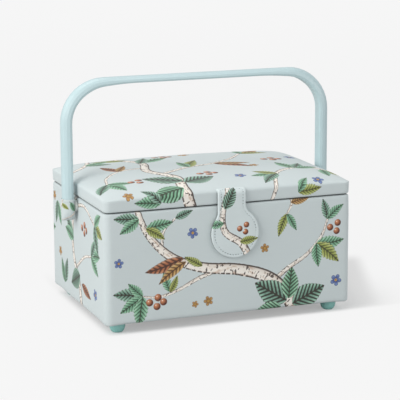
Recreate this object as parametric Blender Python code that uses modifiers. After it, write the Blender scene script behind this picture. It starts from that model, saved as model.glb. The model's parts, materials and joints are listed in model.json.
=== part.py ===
"""Fabric-covered sewing basket with a padded lid, a swinging handle, a magnetic flap and a lift-out tray.

Lengths are in metres, +Z is up, the flap is on the -Y side. The basket stands on z = 0, and the middle of
its overall depth is at y = 0.
"""

import math

import bmesh
import bpy
from mathutils import Matrix, Vector

# Overall sizes of the box
BOX_WIDTH = 0.260
BOX_DEPTH = 0.185
BOX_CORNER_RADIUS = 0.0062
BODY_HEIGHT = 0.1106
LID_SIDE_HEIGHT = 0.0117
LID_CROWN = 0.0110
LID_SEAM = 0.0004

# Clearance between pieces that touch
GAP = 0.0003

# Boards and cloth
BOARD = 0.0050
BASE_BOARD = 0.0040
LID_BOARD = 0.0030
BOARD_CORNER_RADIUS = 0.0049
COVER = 0.0010
LINING = 0.0008
COVER_EDGE_RADIUS = 0.0016
LINING_CORNER_RADIUS = 0.0010
BOTTOM_TURN_IN = 0.0300
BASE_CLOTH = 0.0006
BASE_CLOTH_LAP = 0.0040
LID_PAD_EDGE = 0.0017
CROWN_POWER = 4
CROWN_ROUNDNESS = 0.5
CROWN_CORNER_SHARE = 0.5
CROWN_INSET_SHARES = (0.0, 0.012, 0.04, 0.10, 0.20, 0.36, 0.62)
CORNER_STEPS = 3
EDGE_STEPS = 2
LONG_STEPS = 8
SHORT_STEPS = 6

# Feet and their screws
FOOT_RADIUS = 0.0081
FOOT_HEIGHT = 0.0107
FOOT_FLAT_RADIUS = 0.0036
FOOT_STRAIGHT_HEIGHT = 0.0022
FOOT_INSET = 0.0168
FOOT_CURVE_STEPS = 5
FOOT_SCREW_RADIUS = 0.0015
FOOT_SCREW_HEAD_RADIUS = 0.0024
FOOT_SCREW_HEAD_HEIGHT = 0.0018
FOOT_SCREW_DEPTH = 0.0030
FOOT_SCREW_RECESS = 0.0024

# Handle: a D section, flat on its inner side. Its pivot is set from the top of the body
HANDLE_RISE = 0.1280
HANDLE_WIDTH = 0.0150
HANDLE_LEG_THICKNESS = 0.0110
HANDLE_BAR_THICKNESS = 0.0070
HANDLE_CORNER_RADIUS = 0.0450
HANDLE_PIVOT_DROP = 0.0089
HANDLE_BELOW_PIVOT = 0.0135
HANDLE_THINNING_LENGTH = 0.0620
HANDLE_EDGE_SHARE = 0.72
HANDLE_FLAT_SHARE = 0.62
HANDLE_CORNER_STEPS = 11
HANDLE_ARC_STEPS = 8
HANDLE_TIP_SHARES = (0.6, 0.35, 0.16, 0.05, 0.01)
SLEEVE = 0.0005
SLEEVE_ABOVE_PIVOT = 0.0077

# Pivot bolts of the handle
BOLT_RADIUS = 0.0020
BOLT_CLEARANCE = 0.0003
BOLT_HEAD_RADIUS = 0.0040
BOLT_HEAD_HEIGHT = 0.0024
BOLT_SEAT = 0.0046
BOLT_TIP = 0.0005
NUT_RADIUS = 0.0050
NUT_HEIGHT = 0.0026
WASHER_RADIUS = 0.0060
WASHER_HEIGHT = 0.0025

# Hinges at the back
HINGE_LENGTH = 0.0320
HINGE_END_INSET = 0.0550
HINGE_LEAF = 0.0010
HINGE_BODY_LEAF_HEIGHT = 0.0102
HINGE_LID_LEAF_HEIGHT = 0.0078
HINGE_BARREL_RADIUS = 0.0019
HINGE_BORE_RADIUS = 0.0012
HINGE_PIN_RADIUS = 0.0009
HINGE_KNUCKLES = 3
HINGE_SCREW_SPACING = 0.0200
HINGE_SCREW_RADIUS = 0.0009
HINGE_SCREW_HEAD_RADIUS = 0.0021
HINGE_SCREW_HEAD_HEIGHT = 0.0008
HINGE_SCREW_DEPTH = 0.0037

# Closing flap and its magnets. The disc hangs a little to the right of the neck
FLAP_NECK_WIDTH = 0.0292
FLAP_DISC_RADIUS = 0.0250
FLAP_DISC_DROP = 0.0407
FLAP_DISC_OFFSET = 0.0035
FLAP_FILLET_RADIUS = 0.0120
FLAP_FACING = 0.0008
FLAP_BACKING = 0.0007
FLAP_STIFFENER = 0.0014
FLAP_SEAM = 0.0027
FLAP_STAND_OFF = 0.0004
FLAP_TOP_DROP = 0.0003
FLAP_CURVE_STEPS = 6
FLAP_DISC_STEPS = 16
ANCHOR_THICKNESS = 0.0028
ANCHOR_RINGS = 4
MAGNET_RADIUS = 0.0090
MAGNET_HEIGHT = 0.0014

# Lift-out tray and the ledges that carry it
TRAY_HEIGHT = 0.0300
TRAY_WALL = 0.0018
TRAY_FLOOR = 0.0016
TRAY_SIDE_CLEARANCE = 0.0010
TRAY_CORNER_RADIUS = 0.0080
TRAY_POCKET_RADIUS = 0.0050
TRAY_TOP_DROP = 0.0186
TRAY_COLUMN_SHARES = (0.0, 0.26, 0.74, 1.0)
TRAY_ROW_SHARES = ((0.0, 0.5, 1.0), (0.0, 0.34, 1.0), (0.0, 0.5, 1.0))
LEDGE_WIDTH = 0.0080
LEDGE_HEIGHT = 0.0100
LEDGE_END_CLEARANCE = 0.0010

# Pincushion and pocket inside the lid
PINCUSHION_WIDTH = 0.0640
PINCUSHION_DEPTH = 0.0480
PINCUSHION_HEIGHT = 0.0088
PINCUSHION_SIDE_MARGIN = 0.0195
SOFT_LEVELS = 2
POCKET_SIDE_MARGIN = 0.0045
POCKET_TO_PINCUSHION = 0.0190
POCKET_DEPTH = 0.0900
POCKET_CLOTH = 0.0010
ELASTIC_WIDTH = 0.0060
ELASTIC_THICKNESS = 0.0016
ELASTIC_EDGE_RADIUS = 0.0004
POCKET_CORNER_RADIUS = 0.0040

# Segments round small parts, how far a cutter runs past the piece that it cuts, the distance
# within which points are welded, and the angle in degrees above which an edge is shaded sharp
FINE_SIDES = 24
SMALL_SIDES = 12
OVERRUN = 0.0020
WELD_DISTANCE = 0.00001
SMOOTH_ANGLE = 35

# Worked-out levels, from the floor up
BODY_BOTTOM = FOOT_HEIGHT + GAP
BODY_TOP = BODY_BOTTOM + BODY_HEIGHT
WALL_BOTTOM = BODY_BOTTOM + COVER + GAP
WALL_TOP = BODY_TOP - COVER - GAP
FLOOR_BOTTOM = WALL_BOTTOM + BASE_BOARD + GAP
LID_BOTTOM = BODY_TOP + LID_SEAM
LID_EDGE_TOP = LID_BOTTOM + LID_SIDE_HEIGHT
RIM_BOTTOM = LID_BOTTOM + COVER + GAP
PAD_EDGE_TOP = LID_EDGE_TOP - COVER - GAP
PAD_BOTTOM = PAD_EDGE_TOP - LID_PAD_EDGE
RIM_TOP = PAD_BOTTOM - GAP
LID_BOARD_BOTTOM = RIM_TOP - LID_BOARD
LID_LINING_TOP = LID_BOARD_BOTTOM - GAP
LID_LINING_BOTTOM = LID_LINING_TOP - LINING

# Worked-out depths below the outer face of the cover
BOARD_INSET = COVER + GAP
BOARD_INNER_INSET = BOARD_INSET + BOARD
LINING_INSET = BOARD_INNER_INSET + GAP
INNER_INSET = LINING_INSET + LINING
HALF_WIDTH = BOX_WIDTH / 2
HALF_DEPTH = BOX_DEPTH / 2
INNER_HALF_WIDTH = HALF_WIDTH - INNER_INSET
INNER_HALF_DEPTH = HALF_DEPTH - INNER_INSET

# Worked-out places inside the lid, from its right side to its left
PINCUSHION_X = INNER_HALF_WIDTH - PINCUSHION_SIDE_MARGIN - PINCUSHION_WIDTH / 2
POCKET_RIGHT = PINCUSHION_X - PINCUSHION_WIDTH / 2 - POCKET_TO_PINCUSHION
POCKET_LEFT = POCKET_SIDE_MARGIN - INNER_HALF_WIDTH
POCKET_WIDTH = POCKET_RIGHT - POCKET_LEFT

# Worked-out places of the joints, with y counted from the middle of the box
HINGE_Y = HALF_DEPTH + GAP + HINGE_BARREL_RADIUS
HINGE_Z = BODY_TOP + LID_SEAM / 2
FLAP_THICKNESS = FLAP_BACKING + FLAP_STIFFENER + FLAP_FACING + 2 * GAP
FLAP_BACK_Y = -HALF_DEPTH - FLAP_STAND_OFF
FLAP_AXIS_Z = LID_EDGE_TOP
FLAP_TOP = FLAP_AXIS_Z - FLAP_TOP_DROP
FLAP_DISC_HEIGHT = FLAP_AXIS_Z - FLAP_DISC_DROP
HANDLE_INNER_X = HALF_WIDTH + GAP + WASHER_HEIGHT + GAP + SLEEVE + GAP
HANDLE_REACH = HANDLE_INNER_X + HANDLE_LEG_THICKNESS
HANDLE_PIVOT_HEIGHT = BODY_TOP - HANDLE_PIVOT_DROP
HANDLE_TOP = HANDLE_PIVOT_HEIGHT + HANDLE_RISE
HANDLE_END = HANDLE_PIVOT_HEIGHT - HANDLE_BELOW_PIVOT
TRAY_REST_HEIGHT = BODY_TOP - TRAY_TOP_DROP - TRAY_HEIGHT
BACK_REACH = HINGE_Y + HINGE_BARREL_RADIUS
FRONT_REACH = -FLAP_BACK_Y + FLAP_THICKNESS
BOX_Y = (FRONT_REACH - BACK_REACH) / 2

PIVOT_POINTS = {
    "basket": Vector((0, 0, 0)),
    "lid_pivot": Vector((0, HINGE_Y, HINGE_Z)),
    "flap_pivot": Vector((0, -FRONT_REACH, FLAP_AXIS_Z)),
    "handle_pivot": Vector((0, 0, HANDLE_PIVOT_HEIGHT)),
    "tray_pivot": Vector((0, 0, TRAY_REST_HEIGHT)),
}
PIVOT_PARENTS = {
    "lid_pivot": "basket",
    "flap_pivot": "lid_pivot",
    "handle_pivot": "basket",
    "tray_pivot": "basket",
}

MATERIALS = {
    "printed_cloth": ((0.66, 0.74, 0.76), 0.90, 0.0),
    "lining_cloth": ((0.86, 0.88, 0.86), 0.92, 0.0),
    "board": ((0.62, 0.50, 0.36), 0.85, 0.0),
    "foam": ((0.90, 0.88, 0.80), 0.95, 0.0),
    "handle_plastic": ((0.56, 0.70, 0.73), 0.35, 0.0),
    "foot_plastic": ((0.16, 0.35, 0.32), 0.40, 0.0),
    "tray_plastic": ((0.88, 0.89, 0.88), 0.40, 0.0),
    "plated_steel": ((0.62, 0.61, 0.58), 0.30, 1.0),
    "magnet": ((0.30, 0.30, 0.31), 0.45, 1.0),
    "card": ((0.55, 0.52, 0.46), 0.90, 0.0),
    "elastic": ((0.80, 0.84, 0.82), 0.80, 0.0),
    "washer_plastic": ((0.80, 0.82, 0.80), 0.45, 0.0),
}


def clear_scene():
    """Remove whatever the open file holds."""
    for obj in list(bpy.data.objects):
        bpy.data.objects.remove(obj, do_unlink=True)


def new_collection(name):
    collection = bpy.data.collections.new(name)
    bpy.context.scene.collection.children.link(collection)
    return collection


def make_material(name):
    """A plain finish from the table of materials."""
    colour, roughness, metallic = MATERIALS[name]
    material = bpy.data.materials.new(name)
    material.use_nodes = True
    shader = material.node_tree.nodes["Principled BSDF"]
    shader.inputs["Base Color"].default_value = (*colour, 1.0)
    shader.inputs["Roughness"].default_value = roughness
    shader.inputs["Metallic"].default_value = metallic
    material.diffuse_color = (*colour, 1.0)
    return material


def make_pivots():
    """One empty on each joint's axis, so that what it carries moves about it."""
    for name, point in PIVOT_POINTS.items():
        pivot = bpy.data.objects.new(name, None)
        pivot.empty_display_size = BOX_CORNER_RADIUS
        parts.objects.link(pivot)
        parent = PIVOT_PARENTS.get(name)
        if parent:
            pivot.parent = bpy.data.objects[parent]
            pivot.location = point - PIVOT_POINTS[parent]
        else:
            pivot.location = (0, BOX_Y, 0)


def place(obj, location, pivot="basket", rotation=(0, 0, 0)):
    """Hang an object on a pivot, at a place given from the middle of the box."""
    obj.parent = bpy.data.objects[pivot]
    obj.location = Vector(location) - PIVOT_POINTS[pivot]
    obj.rotation_euler = rotation


def add_part(name, mesh, material, location=(0, 0, 0), pivot="basket", rotation=(0, 0, 0)):
    """Add a piece of the basket to the scene."""
    obj = bpy.data.objects.new(name, mesh)
    parts.objects.link(obj)
    mesh.materials.append(finishes[material])
    place(obj, location, pivot, rotation)
    return obj


def add_cutter(name, mesh, location=(0, 0, 0), pivot="basket", rotation=(0, 0, 0)):
    """Add a guide that only cuts or joins, and isn't part of the basket."""
    obj = bpy.data.objects.new(name, mesh)
    cutters.objects.link(obj)
    obj.hide_render = True
    obj.display_type = "WIRE"
    place(obj, location, pivot, rotation)
    return obj


def combine(obj, other, operation):
    modifier = obj.modifiers.new(f"{operation.lower()}_{other.name}", "BOOLEAN")
    modifier.operation = operation
    modifier.solver = "EXACT"
    modifier.object = other


def cut(obj, *others):
    for other in others:
        combine(obj, other, "DIFFERENCE")


def fuse(obj, *others):
    for other in others:
        combine(obj, other, "UNION")


def shade_round(mesh):
    """Smooth shading that keeps the edges of flat faces."""
    mesh.shade_smooth()
    mesh.set_sharp_from_angle(angle=math.radians(SMOOTH_ANGLE))


def mesh_from_bmesh(name, form, round_shading=False):
    mesh = bpy.data.meshes.new(name)
    form.to_mesh(mesh)
    form.free()
    if round_shading:
        shade_round(mesh)
    return mesh


def box_mesh(name, size, bevel=0.0):
    """A box about its own middle, with rounded edges if bevel is given."""
    form = bmesh.new()
    bmesh.ops.create_cube(form, size=1.0)
    bmesh.ops.scale(form, vec=size, verts=form.verts)
    if bevel:
        bmesh.ops.bevel(form, geom=form.edges[:], offset=bevel, segments=2, profile=0.5, affect="EDGES")
    return mesh_from_bmesh(name, form)


def rods_mesh(name, radius, length, places=((0, 0, 0),), axis="Z", sides=SMALL_SIDES):
    """One or more equal rods, each about its own place, along one axis."""
    turns = {"X": Matrix.Rotation(math.pi / 2, 3, "Y"), "Y": Matrix.Rotation(-math.pi / 2, 3, "X"),
             "Z": Matrix.Identity(3)}
    form = bmesh.new()
    for point in places:
        rod = bmesh.ops.create_cone(form, cap_ends=True, segments=sides, radius1=radius, radius2=radius,
                                    depth=length)
        bmesh.ops.transform(form, matrix=Matrix.Translation(point) @ turns[axis].to_4x4(), verts=rod["verts"])
    return mesh_from_bmesh(name, form, round_shading=True)


def turned_part(name, profile, material, location, sides, pivot="basket", rotation=(0, 0, 0)):
    """Turn a profile of (radius, height) points, outer side first from the top, about the Z axis."""
    form = bmesh.new()
    verts = [form.verts.new((radius, 0, height)) for radius, height in profile]
    for first, second in zip(verts, verts[1:]):
        form.edges.new((first, second))
    obj = add_part(name, mesh_from_bmesh(name, form), material, location, pivot, rotation)
    screw = obj.modifiers.new("turn", "SCREW")
    screw.axis = "Z"
    screw.steps = sides
    screw.render_steps = sides
    screw.use_merge_vertices = True
    screw.merge_threshold = WELD_DISTANCE
    screw.use_smooth_shade = True
    return obj


def plate_mesh(name, outline, thickness):
    """A flat outline, drawn as a filled curve and thickened along Z, as a welded mesh."""
    curve = bpy.data.curves.new(name + "_outline", "CURVE")
    curve.dimensions = "2D"
    curve.fill_mode = "BOTH"
    curve.extrude = thickness / 2
    spline = curve.splines.new("POLY")
    spline.points.add(len(outline) - 1)
    for point, (x, y) in zip(spline.points, outline):
        point.co = (x, y, 0, 1)
    spline.use_cyclic_u = True
    guide = bpy.data.objects.new(name + "_outline", curve)
    cutters.objects.link(guide)
    graph = bpy.context.evaluated_depsgraph_get()
    mesh = bpy.data.meshes.new_from_object(guide.evaluated_get(graph))
    bpy.data.objects.remove(guide, do_unlink=True)
    form = bmesh.new()
    form.from_mesh(mesh)
    bmesh.ops.remove_doubles(form, verts=form.verts, dist=WELD_DISTANCE)
    bmesh.ops.recalc_face_normals(form, faces=form.faces)
    bpy.data.meshes.remove(mesh)
    return mesh_from_bmesh(name, form, round_shading=True)


def arc(centre, radius, start, end, steps):
    """Points on an arc, with its angles in degrees."""
    points = []
    for step in range(steps + 1):
        angle = math.radians(start + (end - start) * step / steps)
        points.append((centre[0] + radius * math.cos(angle), centre[1] + radius * math.sin(angle)))
    return points


def rounded_loop(half_x, half_y, radius, corner_steps=CORNER_STEPS, long_steps=1, short_steps=1):
    """Points round a rectangle with rounded corners, anticlockwise from its front left corner."""
    corners = (((-half_x + radius, -half_y + radius), 180, long_steps),
               ((half_x - radius, -half_y + radius), 270, short_steps),
               ((half_x - radius, half_y - radius), 0, long_steps),
               ((-half_x + radius, half_y - radius), 90, short_steps))
    points = []
    for index, (centre, start, steps) in enumerate(corners):
        points += arc(centre, radius, start, start + 90, corner_steps)
        following, next_start, _ = corners[(index + 1) % len(corners)]
        target = arc(following, radius, next_start, next_start, 1)[0]
        last = points[-1]
        for step in range(1, steps):
            share = step / steps
            points.append((last[0] + (target[0] - last[0]) * share, last[1] + (target[1] - last[1]) * share))
    return points


def box_ring(inset, height, radius=BOX_CORNER_RADIUS, **steps):
    """A level ring round the box, inset from the outer face of its cover."""
    corner = max(radius - inset, LINING_CORNER_RADIUS)
    loop = rounded_loop(HALF_WIDTH - inset, HALF_DEPTH - inset, corner, **steps)
    return [(x, y, height) for x, y in loop]


def ring_mesh(name, rings, cap_first=False, cap_last=False):
    """Join equal rings, from the top inwards to the bottom inwards, with the faces looking out."""
    form = bmesh.new()
    loops = [[form.verts.new(point) for point in ring] for ring in rings]
    for upper, lower in zip(loops, loops[1:]):
        count = len(upper)
        for index in range(count):
            after = (index + 1) % count
            form.faces.new((upper[index], lower[index], lower[after], upper[after]))
    if cap_first:
        form.faces.new(loops[0])
    if cap_last:
        form.faces.new(list(reversed(loops[-1])))
    return mesh_from_bmesh(name, form, round_shading=True)


def add_skin(name, mesh, material, thickness, pivot="basket"):
    """A sheet of cloth or card, thickened inwards from its outer face."""
    obj = add_part(name, mesh, material, pivot=pivot)
    solidify = obj.modifiers.new("thickness", "SOLIDIFY")
    solidify.thickness = thickness
    solidify.offset = -1.0
    solidify.use_even_offset = True
    return obj


def crown_height(x, y, half_x, half_y):
    """Rise of the padded lid above its edge, as a share of the crown."""
    along = max(0.0, 1.0 - abs(x / half_x) ** CROWN_POWER) ** CROWN_ROUNDNESS
    across = max(0.0, 1.0 - abs(y / half_y) ** CROWN_POWER) ** CROWN_ROUNDNESS
    return along * across


def crown_rings(inset, edge_top):
    """Rings over the lid's top from near the middle out to its edge, inset from the cover's face."""
    half_x = HALF_WIDTH - inset
    half_y = HALF_DEPTH - inset
    rings = []
    for share in reversed(CROWN_INSET_SHARES):
        step_in = share * half_y
        corner = (BOX_CORNER_RADIUS - inset) * (1 - share)
        radius = max(corner + step_in * CROWN_CORNER_SHARE, LINING_CORNER_RADIUS)
        loop = rounded_loop(half_x - step_in, half_y - step_in, radius,
                            long_steps=LONG_STEPS, short_steps=SHORT_STEPS)
        rings.append([(x, y, edge_top + LID_CROWN * crown_height(x, y, half_x, half_y)) for x, y in loop])
    return rings


def edge_rings(outer_height, inner_height, **ring_steps):
    """Rings over the rounded edge of a cover, from its flat face to its side."""
    rings = []
    for step in range(EDGE_STEPS + 1):
        angle = math.radians(90 * step / EDGE_STEPS)
        inset = COVER_EDGE_RADIUS * (1 - math.sin(angle))
        share = math.cos(angle)
        rings.append(box_ring(inset, inner_height + (outer_height - inner_height) * share, **ring_steps))
    return rings


def wall_outline(side):
    """Plan of a front or back board, whose two outer corners are rounded. side is -1 in front, 1 behind."""
    half_x = HALF_WIDTH - BOARD_INSET
    outer = HALF_DEPTH - BOARD_INSET
    inner = outer - BOARD
    radius = BOARD_CORNER_RADIUS
    left = arc((-half_x + radius, outer - radius), radius, 180, 90, CORNER_STEPS)
    right = arc((half_x - radius, outer - radius), radius, 90, 0, CORNER_STEPS)
    outline = left + right + [(half_x, inner), (-half_x, inner)]
    return [(x, y * side) for x, y in outline]


def add_frame(prefix, suffix, bottom, top, pivot):
    """Four boards on edge: front and back run the full width, and the sides stand between them."""
    height = top - bottom
    middle = (top + bottom) / 2
    frame = {}
    for word, side in (("front", -1), ("back", 1)):
        name = f"{prefix}{word}{suffix}"
        frame[word] = add_part(name, plate_mesh(name, wall_outline(side), height), "board",
                               (0, 0, middle), pivot)
    length = 2 * (HALF_DEPTH - BOARD_INNER_INSET - GAP)
    for word, side in (("left", -1), ("right", 1)):
        name = f"{prefix}{word}{suffix}"
        x = side * (HALF_WIDTH - BOARD_INSET - BOARD / 2)
        frame[word] = add_part(name, box_mesh(name, (BOARD, length, height)), "board", (x, 0, middle), pivot)
    return frame


def make_body_boards():
    """Walls and base of the box."""
    frame = add_frame("", "_board", WALL_BOTTOM, WALL_TOP, "basket")
    width = 2 * (HALF_WIDTH - BOARD_INNER_INSET - GAP)
    depth = 2 * (HALF_DEPTH - BOARD_INNER_INSET - GAP)
    frame["base"] = add_part("base_board", box_mesh("base_board", (width, depth, BASE_BOARD)), "board",
                             (0, 0, WALL_BOTTOM + BASE_BOARD / 2))
    return frame


def make_body_cover():
    """Printed cloth over the walls, turned over their tops and under the base."""
    rings = [box_ring(INNER_INSET, BODY_TOP)]
    rings += edge_rings(BODY_TOP, BODY_TOP - COVER_EDGE_RADIUS)
    rings += reversed(edge_rings(BODY_BOTTOM, BODY_BOTTOM + COVER_EDGE_RADIUS))
    rings.append(box_ring(BOTTOM_TURN_IN, BODY_BOTTOM))
    return add_skin("body_cover", ring_mesh("body_cover", rings), "printed_cloth", COVER)


def make_base_cloth():
    """Plain cloth that closes the underside and laps over the turned-in cover."""
    inset = BOTTOM_TURN_IN - BASE_CLOTH_LAP
    size = (2 * (HALF_WIDTH - inset), 2 * (HALF_DEPTH - inset), BASE_CLOTH)
    add_part("base_cloth", box_mesh("base_cloth", size), "lining_cloth",
             (0, 0, BODY_BOTTOM - GAP - BASE_CLOTH / 2))


def make_body_lining():
    """Plain cloth inside the box, up the walls and over the floor."""
    rings = [box_ring(LINING_INSET, WALL_TOP, LINING_INSET + LINING_CORNER_RADIUS),
             box_ring(LINING_INSET, FLOOR_BOTTOM, LINING_INSET + LINING_CORNER_RADIUS)]
    add_skin("body_lining", ring_mesh("body_lining", rings, cap_last=True), "lining_cloth", LINING)


def make_ledges():
    """Two cloth-covered ledges that carry the tray."""
    length = 2 * (INNER_HALF_DEPTH - LEDGE_END_CLEARANCE)
    top = TRAY_REST_HEIGHT - GAP
    for word, side in (("left", -1), ("right", 1)):
        name = f"tray_ledge_{word}"
        x = side * (INNER_HALF_WIDTH - GAP - LEDGE_WIDTH / 2)
        add_part(name, box_mesh(name, (LEDGE_WIDTH, length, LEDGE_HEIGHT)), "lining_cloth",
                 (x, 0, top - LEDGE_HEIGHT / 2))


def foot_places():
    x = HALF_WIDTH - FOOT_INSET
    y = HALF_DEPTH - FOOT_INSET
    return {"front_left": (-x, -y), "front_right": (x, -y), "back_left": (-x, y), "back_right": (x, y)}


def make_feet(base_board, cover):
    """Turned plastic feet, each held by a screw that is sunk in its underside."""
    recess = FOOT_SCREW_HEAD_RADIUS + GAP
    bore = FOOT_SCREW_RADIUS + GAP
    seat = FOOT_SCREW_RECESS + FOOT_SCREW_HEAD_HEIGHT + GAP
    curve_height = FOOT_HEIGHT - FOOT_STRAIGHT_HEIGHT
    profile = [(bore, FOOT_HEIGHT), (FOOT_RADIUS, FOOT_HEIGHT)]
    profile += [(FOOT_FLAT_RADIUS + (FOOT_RADIUS - FOOT_FLAT_RADIUS) * across, curve_height * (1 - up))
                for across, up in arc((0, 0), 1, 0, 90, FOOT_CURVE_STEPS)]
    profile += [(recess, 0), (recess, seat), (bore, seat), (bore, FOOT_HEIGHT)]
    screw_top = WALL_BOTTOM + FOOT_SCREW_DEPTH
    head = FOOT_SCREW_RECESS + FOOT_SCREW_HEAD_HEIGHT
    screw_profile = [(0, screw_top), (FOOT_SCREW_RADIUS, screw_top), (FOOT_SCREW_RADIUS, head),
                     (FOOT_SCREW_HEAD_RADIUS, head), (FOOT_SCREW_HEAD_RADIUS, FOOT_SCREW_RECESS),
                     (0, FOOT_SCREW_RECESS)]
    for word, (x, y) in foot_places().items():
        turned_part(f"foot_{word}", profile, "foot_plastic", (x, y, 0), FINE_SIDES)
        turned_part(f"foot_screw_{word}", screw_profile, "plated_steel", (x, y, 0), SMALL_SIDES)
    places = [(x, y, 0) for x, y in foot_places().values()]
    rods = rods_mesh("foot_screw_holes", bore, BASE_BOARD + FOOT_HEIGHT, places)
    holes = add_cutter("foot_screw_holes", rods, (0, 0, WALL_BOTTOM))
    cut(base_board, holes)
    cut(cover, holes)


def make_lid_boards():
    """Shallow frame of the lid with a flat board set into it."""
    frame = add_frame("lid_", "_rim", RIM_BOTTOM, RIM_TOP, "lid_pivot")
    width = 2 * (HALF_WIDTH - BOARD_INNER_INSET - GAP)
    depth = 2 * (HALF_DEPTH - BOARD_INNER_INSET - GAP)
    add_part("lid_board", box_mesh("lid_board", (width, depth, LID_BOARD)), "board",
             (0, 0, LID_BOARD_BOTTOM + LID_BOARD / 2), "lid_pivot")
    return frame


def make_lid_pad():
    """Crowned foam pad on top of the lid."""
    rings = crown_rings(BOARD_INSET, PAD_EDGE_TOP)
    rings.append([(x, y, PAD_BOTTOM) for x, y, _ in rings[-1]])
    mesh = ring_mesh("lid_pad", rings, cap_first=True, cap_last=True)
    add_part("lid_pad", mesh, "foam", pivot="lid_pivot")


def make_lid_cover():
    """Printed cloth over the pad and the rims, turned in under them."""
    steps = {"long_steps": LONG_STEPS, "short_steps": SHORT_STEPS}
    rings = crown_rings(0, LID_EDGE_TOP)
    rings += reversed(edge_rings(LID_BOTTOM, LID_BOTTOM + COVER_EDGE_RADIUS, **steps))
    rings.append(box_ring(INNER_INSET, LID_BOTTOM, **steps))
    mesh = ring_mesh("lid_cover", rings, cap_first=True)
    return add_skin("lid_cover", mesh, "printed_cloth", COVER, "lid_pivot")


def make_lid_lining():
    """Plain cloth over the underside of the lid board and the inside of the rims."""
    corner = LINING_INSET + LINING_CORNER_RADIUS
    rings = [box_ring(LINING_INSET, LID_LINING_TOP, corner), box_ring(LINING_INSET, RIM_BOTTOM, corner)]
    mesh = ring_mesh("lid_lining", rings, cap_first=True)
    add_skin("lid_lining", mesh, "lining_cloth", LINING, "lid_pivot")


def make_pincushion():
    """Soft pincushion, flat where it is sewn to the lid lining."""
    form = bmesh.new()
    bmesh.ops.create_cube(form, size=1.0)
    bmesh.ops.subdivide_edges(form, edges=form.edges[:], cuts=1, use_grid_fill=True)
    mesh = mesh_from_bmesh("pincushion", form)
    mesh.shade_smooth()
    top = LID_LINING_BOTTOM - GAP
    for vert in mesh.vertices:
        x, y, z = vert.co
        fullness = 1 if z > 0 else 1 - (abs(x) + abs(y)) / 2
        vert.co = (x * PINCUSHION_WIDTH, y * PINCUSHION_DEPTH, z * PINCUSHION_HEIGHT * fullness)
    obj = add_part("pincushion", mesh, "printed_cloth",
                   (PINCUSHION_X, 0, top - PINCUSHION_HEIGHT / 2), "lid_pivot")
    soft = obj.modifiers.new("soft", "SUBSURF")
    soft.levels = SOFT_LEVELS
    soft.render_levels = SOFT_LEVELS


def make_pocket():
    """Flat pocket sewn to the lid lining, with a band of elastic along its mouth."""
    x = (POCKET_LEFT + POCKET_RIGHT) / 2
    top = LID_LINING_BOTTOM - GAP
    cloth = rounded_loop(POCKET_WIDTH / 2, POCKET_DEPTH / 2, POCKET_CORNER_RADIUS)
    add_part("lid_pocket", plate_mesh("lid_pocket", cloth, POCKET_CLOTH), "lining_cloth",
             (x, 0, top - POCKET_CLOTH / 2), "lid_pivot")
    size = (POCKET_WIDTH, ELASTIC_WIDTH, ELASTIC_THICKNESS)
    add_part("pocket_elastic", box_mesh("pocket_elastic", size, ELASTIC_EDGE_RADIUS), "elastic",
             (x, -(POCKET_DEPTH + ELASTIC_WIDTH) / 2 - GAP, top - ELASTIC_THICKNESS / 2), "lid_pivot")


def keyhole(inset):
    """Outline of the flap in x and z: a straight neck that flares into a round disc."""
    neck = FLAP_NECK_WIDTH / 2 - inset
    radius = FLAP_DISC_RADIUS - inset
    fillet = FLAP_FILLET_RADIUS + inset
    top = FLAP_TOP - inset
    right_reach = neck + fillet - FLAP_DISC_OFFSET
    left_reach = neck + fillet + FLAP_DISC_OFFSET
    right_rise = math.sqrt((radius + fillet) ** 2 - right_reach ** 2)
    left_rise = math.sqrt((radius + fillet) ** 2 - left_reach ** 2)
    right_turn = math.degrees(math.atan2(right_rise, right_reach))
    left_turn = math.degrees(math.atan2(left_rise, left_reach))
    middle = FLAP_DISC_HEIGHT
    right = arc((neck + fillet, middle + right_rise), fillet, 180, 180 + right_turn, FLAP_CURVE_STEPS)
    disc = arc((FLAP_DISC_OFFSET, middle), radius, right_turn, -180 - left_turn, FLAP_DISC_STEPS)
    left = arc((-neck - fillet, middle + left_rise), fillet, -left_turn, 0, FLAP_CURVE_STEPS)
    return [(neck, top)] + right + disc[1:-1] + left + [(-neck, top)]


def flap_plate(name, inset, back, thickness, material):
    """A layer of the flap, back being how far its rear face lies in front of the flap's own back."""
    outline = [(x, z - FLAP_AXIS_Z) for x, z in keyhole(inset)]
    mesh = plate_mesh(name, outline, thickness)
    place_at = (0, FLAP_BACK_Y - back - thickness / 2, FLAP_AXIS_Z)
    turn = (math.pi / 2, 0, 0)
    if material:
        return add_part(name, mesh, material, place_at, "flap_pivot", turn)
    return add_cutter(name, mesh, place_at, "flap_pivot", turn)


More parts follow.
